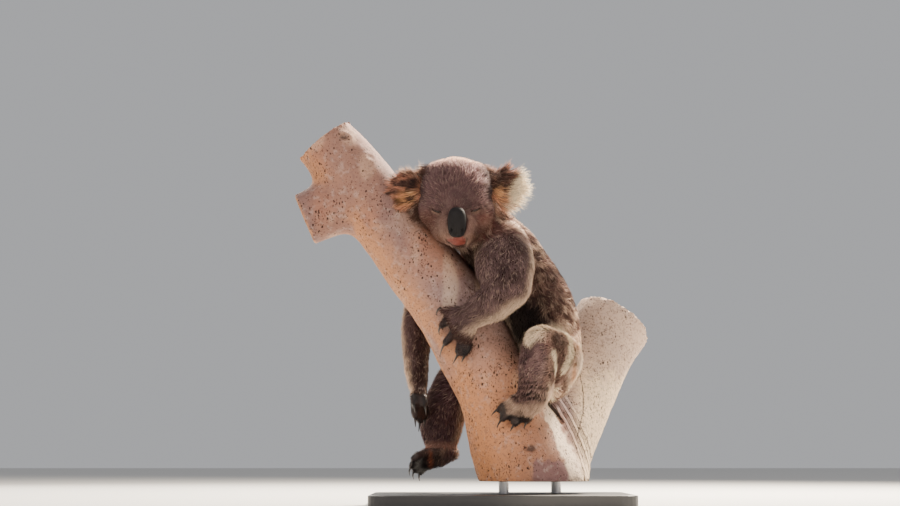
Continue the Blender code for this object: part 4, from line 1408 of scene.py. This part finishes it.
# %% Short hair on hands and feet
for k, side in enumerate(SIDES):
    for part, near, far in (("hand", "wrist", "fingers"), ("foot", "ankle", "toes")):
        grow_region(f"coat_{part}_{side}", area(f"{part}_{side}"), 1700,
                    (JOINTS[side][near], JOINTS[side][far]), 30 + 2 * k + (part == "foot"),
                    slot="paw", thin=0.75)

# %% [markdown]
# ## Ears
# A koala's ears are cups with long silky hair. On this animal the inner hair is tan,
# the hair at the root is dark, and a fringe stands out from the rim, nearly white on
# the left ear. These hairs are longer than the coat's, so they have one ring more.

# %% Hair of the ears
def grow_long(name, roots, normals, along, *rest):
    """Long hair: the normals are set square to it, so that it bends the right way."""
    normals = unit(normals - along * dot(normals, along)[:, None])
    grow_locks(name, "ear_fur", roots, normals, along, *rest, steps=(0.0, 0.3, 0.65))


def grow_ear(side, seed, count, fringe_count, fringe):
    """Hair that fans out from the ear's root, longest on the rim, in uneven clumps."""
    rng = np.random.default_rng(seed)
    _, outward, upward, facing, _ = ear_axes(side)
    roots, normals = scattered(EAR_OF[side] * 1.0, count + fringe_count, rng)
    across, up, front = ear_places(roots, side)
    clump, turn = noise(roots, 0.006, seed), noise(roots, 0.008, seed + 1) - 0.5
    away = unit((across + 1.15)[:, None] * outward + (up * 0.85)[:, None] * upward)
    aside = np.cross(away, facing)
    on_rim = ramp(0.66, 0.92, np.hypot(across, up))
    along = away + aside * (0.9 * turn + rng.normal(0, 0.14, len(roots)))[:, None]
    along += facing * (0.7 * (clump - 0.5) + rng.normal(0, 0.12, len(roots)))[:, None]
    along = unit(along)
    along = unit(along - normals * (dot(along, normals) * (1 - on_rim * 0.85))[:, None])
    long_hair = np.arange(len(roots)) >= count
    length = np.where(long_hair, fringe * (0.45 + 0.55 * on_rim), 0.012)
    length = length * (0.50 + 0.85 * clump) * rng.uniform(0.7, 1.15, len(roots))
    width = np.clip(length * 0.05, 0.0005, 0.0010)
    rise = 0.0035 * rng.uniform(0.4, 1.3, len(roots)) * (1 - 0.5 * on_rim)
    bend = length * rng.normal(0, 0.14, len(roots))
    colours = shaded(ear_fur(roots, side), ear_fur(roots + along * length[:, None], side), rng)
    chart = np.stack([(across / 2.8 + 0.5) / 2 + 0.5 * (front < -0.004), up / 2.8 + 0.5], axis=1)
    grow_long(f"coat_ear_{side}", roots, normals, along, length, width, rise, bend, colours,
              0.01 + 0.98 * chart)


for k, side in enumerate(SIDES):
    grow_ear(side, 41 + k, 2500, 3000, 0.024)


# %% Tufts round the ears
def grow_tuft(kind, side, seed, count, place, turn, reach, colour):
    """Long hair round a place that sweeps outwards from the head and by `turn` upwards."""
    rng = np.random.default_rng(seed)
    _, outward, upward, facing, _ = ear_axes(side)
    roots, normals = scattered(bell(SKIN_MIDDLES, place, 0.015) * ~SLITS, count, rng)
    along = outward + upward * turn + facing * rng.normal(0, 0.16, count)[:, None]
    along = along + upward * (0.7 * (noise(roots, 0.006, seed) - 0.5))[:, None]
    along = unit(along - normals * (dot(along, normals) * 0.7)[:, None])
    length = reach * rng.uniform(0.5, 1.1, count)
    rise = 0.005 * rng.uniform(0.3, 1.2, count)
    bend = length * rng.normal(0, 0.12, count)
    colours = [np.tile(ends, (count, 1)) for ends in (mix(UMBER, colour, 0.35), colour)]
    grow_long(f"coat_{kind}_{side}", roots, normals, along, length,
              np.clip(length * 0.05, 0.0005, 0.0011), rise, bend, shaded(*colours, rng),
              chart_round(roots, *HEAD_AXIS))


def ear_root(side, height):
    """A place on the root of an ear: height in half-sizes of the cup."""
    middle, outward, upward, _, half = ear_axes(side)
    half = half * EAR_SHARE[side]
    return middle - outward * half[0] * 1.05 + upward * half[1] * height


TEMPLE = HEAD + 0.072 * unit(np.array([0.68, -0.15, 0.72]))
TUFTS = [
    ("temple", "left", 43, 600, TEMPLE, 0.02, 0.038, (0.28, 0.15, 0.11)),
    ("tuft", "left", 45, 900, ear_root("left", 0.55), 0.10, 0.034, (0.056, 0.027, 0.021)),
    ("tuft", "right", 44, 600, ear_root("right", 0.90), 0.35, 0.028, (0.09, 0.044, 0.035)),
    ("cheek", "left", 46, 600, ear_root("left", -0.95), -0.35, 0.032, (0.31, 0.17, 0.12)),
    ("cheek", "right", 47, 600, ear_root("right", -0.95), -0.35, 0.03, (0.08, 0.04, 0.029))]
for tuft in TUFTS:
    grow_tuft(*tuft)

# %% [markdown]
# ## Nose
# The nose pad is a tall oval of bare granular leather. It is an ellipsoid, a little
# flattened in front. Two comma-shaped nostrils open at its lower sides, and a fine
# groove runs down its middle to the lip.

# %% The nose pad
NOSE_PITCH = 13               # degrees
NOSE_SIZES = np.array([0.0160, 0.0165, 0.0262])
NOSE_POWER = 2.8              # 2 is an ellipse from the front, more is squarer


def nose_pad(rings=110, steps=110):
    """Rings from the top to the bottom of an ellipsoid, moved along its rays.

    From the front the outline is a superellipse. A ray's length is 1, less two
    bell-shaped pits for the nostrils, plus a low rim round each, less a bell-shaped
    groove in the middle of the lower half.
    """
    polar = np.linspace(0.03, math.pi - 0.03, rings)[:, None]
    angle = np.linspace(0, math.tau, steps, endpoint=False)[None]
    x, y = np.sin(polar) * np.cos(angle), np.sin(polar) * np.sin(angle)
    z = np.cos(polar) + 0 * angle
    square = np.hypot(x, z) / np.maximum((abs(x) ** NOSE_POWER + abs(z) ** NOSE_POWER)
                                         ** (1 / NOSE_POWER), 1e-6)
    reach = np.ones_like(x)
    front = ramp(0.2, -0.3, y)
    for sign in (-1, 1):
        u, v = sign * x - 0.56, z + 0.50
        turned_u, turned_v = 0.87 * u + 0.50 * v, -0.50 * u + 0.87 * v
        pit = np.hypot(turned_u / 0.11, turned_v / 0.20)
        reach += front * (0.05 * peak(pit - 1.5, 0.6) - 0.24 * peak(pit))
    reach -= front * 0.05 * peak(x, 0.05) * ramp(-0.15, -0.45, z)
    squash = 1 - 0.05 * ramp(0.5, 0.9, -y)
    points = np.stack([x * reach * square, y * reach * squash, z * reach * square], axis=2)
    points = points * NOSE_SIZES
    tilt = math.radians(NOSE_PITCH)
    turn = np.array([[1, 0, 0], [0, math.cos(tilt), -math.sin(tilt)],
                     [0, math.sin(tilt), math.cos(tilt)]])
    return grid_mesh("nose_pad", points @ turn.T + NOSE)


def nose_finish():
    leather = Finish("nose_leather", roughness=0.66, Specular_IOR_Level=0.14)
    places = leather.places()
    leather.wear(Base_Color=leather.shades(leather.cloud(places, 120.0, 4.0),
                                           (0.005, 0.0045, 0.005), (0.015, 0.013, 0.014)))
    leather.bump(leather.node("TexVoronoi", "Distance", Vector=places, Scale=900.0), 0.35, 0.0006)
    return leather


placed("nose_pad", nose_pad(), nose_finish(), "nose", "nose")

# %% [markdown]
# ## Claws
# A claw is a curved cone of dark horn. Its middle line is a parabola through the
# solid's points, and its radius falls along it in a straight line, so both are found
# by fitting curves to the solid.

# %% Claws from curves fitted to the solids
CLAW_SLIM = 0.96              # the bare horn against its solid


def claw(node, rings=26, sides=14):
    """A round cone along a fitted parabola, with a rounded tip."""
    points = solid_points(node)
    middle = points.mean(0)
    axes = np.linalg.svd(points - middle, full_matrices=False)[2]
    t = (points - middle) @ axes[0]
    spread = np.linalg.norm((points - middle) @ axes[1:].T, axis=1)
    if np.polyfit(t, spread, 1)[0] > 0:
        axes[0], t = -axes[0], -t
    bends = [np.polyfit(t, (points - middle) @ axis, 2) for axis in axes[1:]]

    def line(s):
        return middle + s[:, None] * axes[0] + sum(
            np.polyval(bend, s)[:, None] * axis for bend, axis in zip(bends, axes[1:]))

    slope, start = np.polyfit(t, np.linalg.norm(points - line(t), axis=1), 1)
    s = np.linspace(t.min(), t.max(), rings)
    taper = np.sqrt(ramp(1.0, 0.93, np.linspace(0, 1, rings)) + 0.02)
    radius = np.maximum(start + slope * s, 0.0006) * CLAW_SLIM * taper
    angle = np.linspace(0, math.tau, sides, endpoint=False)
    ring = (np.cos(angle)[:, None] * axes[1] * 0.86 + np.sin(angle)[:, None] * axes[2])
    return grid_mesh(f"horn_{node}", line(s)[:, None] + radius[:, None, None] * ring)


def horn_finish():
    horn = Finish("horn", roughness=0.30, Coat_Weight=0.25, Coat_Roughness=0.2)
    streaks = horn.cloud(horn.places((1, 1, 0.3)), 350.0, 3.0)
    horn.wear(Base_Color=horn.shades(streaks, (0.007, 0.006, 0.006), (0.030, 0.024, 0.020)))
    horn.bump(streaks, 0.2, 0.0003)
    return horn


HORN = horn_finish()
for node in claws_of("hand") + claws_of("foot"):
    placed(f"horn{node[4:]}", claw(node), HORN, "claw", node)

# %% Eyes: dark moist balls that show in the slits between the lids
EYE_FINISH = Finish("eye", (0.008, 0.004, 0.003), 0.30, Coat_Weight=0.15, Coat_Roughness=0.2)
for side in SIDES:
    ball = ball_mesh(f"eyeball_{side}", EYES[side], EYE_RADIUS, rings=36, steps=48)
    placed(f"eyeball_{side}", ball, EYE_FINISH, "eye", f"eye_{side}")

# %% [markdown]
# ## Gum limb
# A scribbly young gum limb is smooth, pink-cream to lilac grey, and peppered with
# dark specks. Old branch scars are sunken dark knots with a swollen lip. Where the
# limbs fork, the bark folds into long ridges. The limb is the solid, remeshed fine
# and moved in and out by fields. The sawn ends are found as its large flat faces.

# %% Sawn ends of the limb
def sawn_ends(mesh, count=4):
    """Direction, offset and middle of the largest flat faces."""
    _, areas, middles, normals = triangles_of(mesh)
    keys = np.round(np.column_stack([normals * 50, dot(normals, middles) * 500])).astype(int)
    _, group = np.unique(keys, axis=0, return_inverse=True)
    group = group.ravel()
    ends = []
    for k in np.argsort(np.bincount(group, weights=areas))[::-1][:count]:
        member = group == k
        middle = (middles[member] * areas[member, None]).sum(0) / areas[member].sum()
        ends.append((unit(normals[member].mean(0)), middle))
    return ends


SAWN = sawn_ends(welded("perch"))


def past_end(points):
    """How far each point lies beyond a sawn end: negative inside the limb."""
    return np.max([dot(points - middle, normal) for normal, middle in SAWN], axis=0)


print("sawn ends at", [end[1].round(3).tolist() for end in SAWN])

# %% The limb's form
PERCH_VOXEL = 0.0062
KNOTS = [((-0.277, -0.055, 0.654), 0.011), ((-0.229, -0.058, 0.619), 0.011),
         ((-0.057, -0.078, 0.231), 0.008), ((-0.047, -0.080, 0.222), 0.005),
         ((0.051, -0.085, 0.099), 0.010), ((-0.300, 0.058, 0.620), 0.012),
         ((0.060, 0.085, 0.160), 0.012), ((0.205, 0.260, 0.270), 0.010)]
# Where the limbs part: the crack, the first fold below it, and a long seam, from the side.
CRACK = [(0.083, 0.184), (0.098, 0.166), (0.111, 0.147)]
FOLD = [(0.078, 0.200), (0.111, 0.147), (0.131, 0.105), (0.143, 0.060), (0.148, 0.000)]
SEAM = [(0.150, 0.260), (0.147, 0.238), (0.152, 0.200), (0.150, 0.167), (0.137, 0.121)]
# A painted highlight: a bright strip along the fold, seen from the side.
FOLD_HIGHLIGHT = [(0.086, 0.165), (0.104, 0.118), (0.127, 0.062), (0.140, 0.000)]
FOLDS_WIDE = 0.042            # the folded bark reaches this far from the first fold


def beside_fold(points):
    """Distance from the first fold, seen from the side: positive towards the fork limb."""
    line = np.array(FOLD)
    edge = np.interp(-points[:, 2], -line[:, 1], line[:, 0])
    return line_distance(points, FOLD) * np.sign(points[:, 0] - edge)


def knot_share(points, place, radius):
    """Distance from a knot, an upright oval, in its own radius."""
    return np.linalg.norm((points - np.array(place)) / (1.0, 1.6, 0.75), axis=1) / radius


def limb_form():
    mesh = remeshed(welded("perch"), PERCH_VOXEL)
    mesh = smoothed(mesh, ramp(-0.007, -0.003, past_end(points_of(mesh))), 24)
    mesh = shaped(mesh, "SUBSURF", levels=1, render_levels=1, subdivision_type="SIMPLE")
    points, normals = points_of(mesh), normals_of(mesh)
    move = (noise(points, 0.060, 61) - 0.5) * 0.0040 + (noise(points, 0.018, 62) - 0.5) * 0.0014
    for place, radius in KNOTS:
        share = knot_share(points, place, radius)
        move += 0.0014 * peak(share - 1.25, 0.45) - 0.0036 * peak(share)
    front = points[:, 1] < 0.05
    move += front * groove(line_distance(points, CRACK), 0.0045, 0.0050)
    beside = beside_fold(points)
    folded = ramp(-0.006, 0.002, beside) * ramp(FOLDS_WIDE, 0.4 * FOLDS_WIDE, beside)
    move += 0.0009 * folded * np.sin(beside * math.tau / 0.0130)
    move *= ramp(-0.002, -0.008, past_end(points))
    move_points(mesh, points + normals * move[:, None])
    return mesh


limb_mesh = limb_form()
print(f"limb of {len(limb_mesh.polygons)} faces")

# %% Bark colours by place
BARK = (0.294, 0.171, 0.140)
BARK_PINK = (0.336, 0.168, 0.119)
BARK_GREY = (0.210, 0.140, 0.140)
BARK_ORANGE = (0.499, 0.211, 0.082)
BARK_TAN = (0.530, 0.211, 0.078)
BARK_SHADE = (0.255, 0.109, 0.060)
BARK_LILAC = (0.148, 0.076, 0.082)
BARK_CREAM = (0.720, 0.540, 0.396)
SPECK = (0.028, 0.012, 0.009)
HEARTWOOD = (0.264, 0.104, 0.048)
SAPWOOD = (0.448, 0.280, 0.160)


def bark_colours(points, normals):
    """Lilac grey on top, orange below, tan low down with one grey patch, cream in the fork with
    painted shade and highlight.
    """
    p = Paint(points, normals, BARK)
    x, z, long = p.x, p.z, (1.0, 1.0, 0.55)
    p.lay(BARK_PINK, ramp(0.42, 0.68, p.noise(0.085, 71, long)))
    p.lay(BARK_GREY, 0.8 * ramp(0.45, 0.70, p.noise(0.050, 72, long)))
    p.lay(BARK_CREAM, 0.4 * ramp(0.55, 0.78, p.noise(0.030, 73, long)))
    p.lay(p.colour * (0.82, 0.69, 0.63), ramp(0.33, 0.55, z))
    below = ramp(0.05, 0.85, p.faces(-0.84, 0.0, -0.54))
    p.lay(BARK_ORANGE, 0.80 * below * ramp(0.10, 0.50, p.noise(0.030, 74, long)))
    ragged = 0.012 * (p.noise(0.010, 76) - 0.5)
    p.lay(BARK_TAN, 0.75 * ramp(0.32, 0.16, z) * ramp(0.10, 0.03, x))
    # Painted shade: darker bark low down, left of the fork's bright fold.
    shade = ramp(0.00, 0.045, x) * ramp(0.19, 0.13, z + ragged) * ramp(0.130, 0.110, x)
    p.lay(BARK_SHADE, 0.70 * shade)
    patch = ramp(0.052, 0.056, x + ragged) * ramp(0.080, 0.075, z + ragged) * ramp(0.15, 0.13, x)
    p.lay(BARK_LILAC, 0.85 * patch)
    fork = mix(np.array(BARK_CREAM) * (1.20, 1.22, 1.10), mix(BARK_GREY, BARK_CREAM, 0.65),
               ramp(0.20, 0.27, z + 4 * ragged))
    p.lay(fork, 0.9 * ramp(0.115, 0.16, x + ragged))
    # Painted highlight: pale cream along the fork's fold.
    p.lay(np.array(BARK_CREAM) * (1.15, 1.2, 1.2),
          0.90 * p.near_line(FOLD_HIGHLIGHT, 0.015, 0.009, ragged))
    rough = 0.3 * p.noise(0.004, 75)
    for place, radius in KNOTS:
        p.lay(SPECK, 0.9 * ramp(1.25, 0.75, knot_share(points, place, radius) + rough))
    return p.colour


print(f"bark with {len(KNOTS)} knots")

# %% Paint the limb
limb_points, limb_normals = points_of(limb_mesh), normals_of(limb_mesh)
ring_reach = np.zeros(len(limb_points))
sawn = np.zeros(len(limb_points))
for normal, middle in SAWN:
    away = limb_points - middle
    on_end = ramp(-0.0045, -0.0015, dot(away, normal)) * ramp(0.75, 0.95, limb_normals @ normal)
    across = np.linalg.norm(away - dot(away, normal)[:, None] * normal, axis=1)
    ring_reach = np.where(on_end > 0.01, across, ring_reach)
    sawn = np.maximum(sawn, on_end)
paint_points(limb_mesh, "bark", bark_colours(limb_points, limb_normals))
beside = beside_fold(limb_points)
for name, values in (
        ("fold", beside),
        ("folded", ramp(-0.006, 0.002, beside) * ramp(FOLDS_WIDE, 0.5 * FOLDS_WIDE, beside)),
        ("seam", line_distance(limb_points, SEAM)),
        ("crack", line_distance(limb_points, CRACK) + 0.03 * ramp(0.04, 0.06, limb_points[:, 1])
         + 0.0022 * ramp(0.170, 0.147, limb_points[:, 2])),
        ("sawn", sawn), ("ring", ring_reach)):
    mark_points(limb_mesh, name, values)

print(f"sawn wood on {(sawn > 0.5).sum()} of {len(sawn)} points")

# %% Bark finish: specks at two sizes, fine grain, and rings on the sawn wood
FOLD_TURNS = 966.0            # radians per metre: a dark line every 6.5 mm
RING_TURNS = 2100.0           # a late-wood ring every 3 mm


def specks(bark, places, scale, size, crowd):
    """One uneven speck in each random cell, where its radius beats the distance."""
    cells = bark.node("TexVoronoi", "Color", Vector=places, Scale=scale)
    distance = Field(bark, cells.socket.node.outputs["Distance"])
    radius = bark.node("SeparateColor", "Red", Color=cells) * size * crowd
    return (radius - distance).stepped(-0.01, 0.05)


def bark_finish():
    bark = Finish("gum_bark", roughness=0.78, Specular_IOR_Level=0.2)
    places = bark.places()
    patches, grain = bark.cloud(places, 26.0), bark.cloud(places, 900.0, 3.0)
    ragged = bark.node("VectorMath", operation="MULTIPLY_ADD")
    for socket, value in zip(ragged.socket.node.inputs, (
            bark.cloud(places, 420.0, output="Color"), (0.0035, 0.0035, 0.0035), places)):
        bark.feed(socket, value)
    drawn = bark.places((1.0, 1.0, 0.6), Vector=ragged)
    crowd = patches.stepped(0.35, 0.65) * 0.60 + 0.75
    big, small = specks(bark, drawn, 190.0, 0.30, crowd), specks(bark, drawn, 400.0, 0.40, crowd)
    mottle = bark.cloud(places, 210.0, 4.0).stepped(0.50, 0.66)
    pale = bark.cloud(places, 95.0, 5.0).stepped(0.52, 0.68)
    wobble = patches * 0.012
    lines = ((bark.attribute("fold") + wobble) * FOLD_TURNS).maths("SINE").stepped(0.72, 0.99)
    seam = (bark.attribute("seam") + grain * 0.002).stepped(0.0026, 0.0014)
    # Painted shade: near black in the crack where the limbs part.
    crack = (bark.attribute("crack") + grain * 0.004).stepped(0.0066, 0.0048)
    lines = (lines * bark.attribute("folded")).maths("MAXIMUM", seam.maths("MAXIMUM", crack))
    colour = bark.attribute("bark", "Color")
    for share, layer in ((grain * 0.12, (0.48, 0.36, 0.30)), (pale * 0.30, (0.47, 0.355, 0.31)),
                         (mottle * 0.42, (0.145, 0.084, 0.070)),
                         (small * 0.75, (0.064, 0.029, 0.020)), (big * 0.93, SPECK),
                         # Near black for the fold lines and seam, and painted shade in the crack.
                         (lines * 0.97, (0.018, 0.008, 0.006))):
        colour = bark.mixed(share, colour, layer)
    ring = bark.attribute("ring")
    late = ((ring + wobble) * RING_TURNS).maths("SINE").stepped(0.1, 1.0)
    wood = bark.mixed(ring.stepped(0.030, 0.055), HEARTWOOD, SAPWOOD)
    wood = bark.mixed(late * 0.35, wood, (0.25, 0.13, 0.07))
    bark.wear(Base_Color=bark.mixed(bark.attribute("sawn"), colour, wood))
    bark.bump(grain * 0.5 - big.maths("MAXIMUM", lines), 0.55, 0.0009)
    return bark


placed("limb", limb_mesh, bark_finish(), "bark", "perch")

# %% [markdown]
# ## Display stand
# The base is a board under satin black paint, with a trace of grain. The
# two short rods are brushed steel. Their solids have the right shape, so they stay,
# and only their finish changes.

# %% Stand finishes
def painted_board():
    board = Finish("black_board", roughness=0.45, Coat_Weight=0.15, Coat_Roughness=0.3)
    grain = board.cloud(board.places((0.12, 2.0, 1.0)), 60.0, 6.0, Roughness=0.6)
    board.wear(Base_Color=board.shades(grain, (0.020, 0.020, 0.021), (0.042, 0.040, 0.040)))
    board.bump(grain, 0.25, 0.0004)
    return board.material


def brushed_steel():
    steel = Finish("brushed_steel", (0.46, 0.46, 0.47), 0.34, Metallic=1.0)
    steel.bump(steel.cloud(steel.places((0.3, 0.3, 8.0)), 400.0, 4.0), 0.15, 0.0002)
    return steel.material


NODES["stand_base"].material_slots[0].material = painted_board()
STEEL = brushed_steel()
for side in SIDES:
    NODES[f"stand_rod_{side}"].material_slots[0].material = STEEL
print("stand finished")
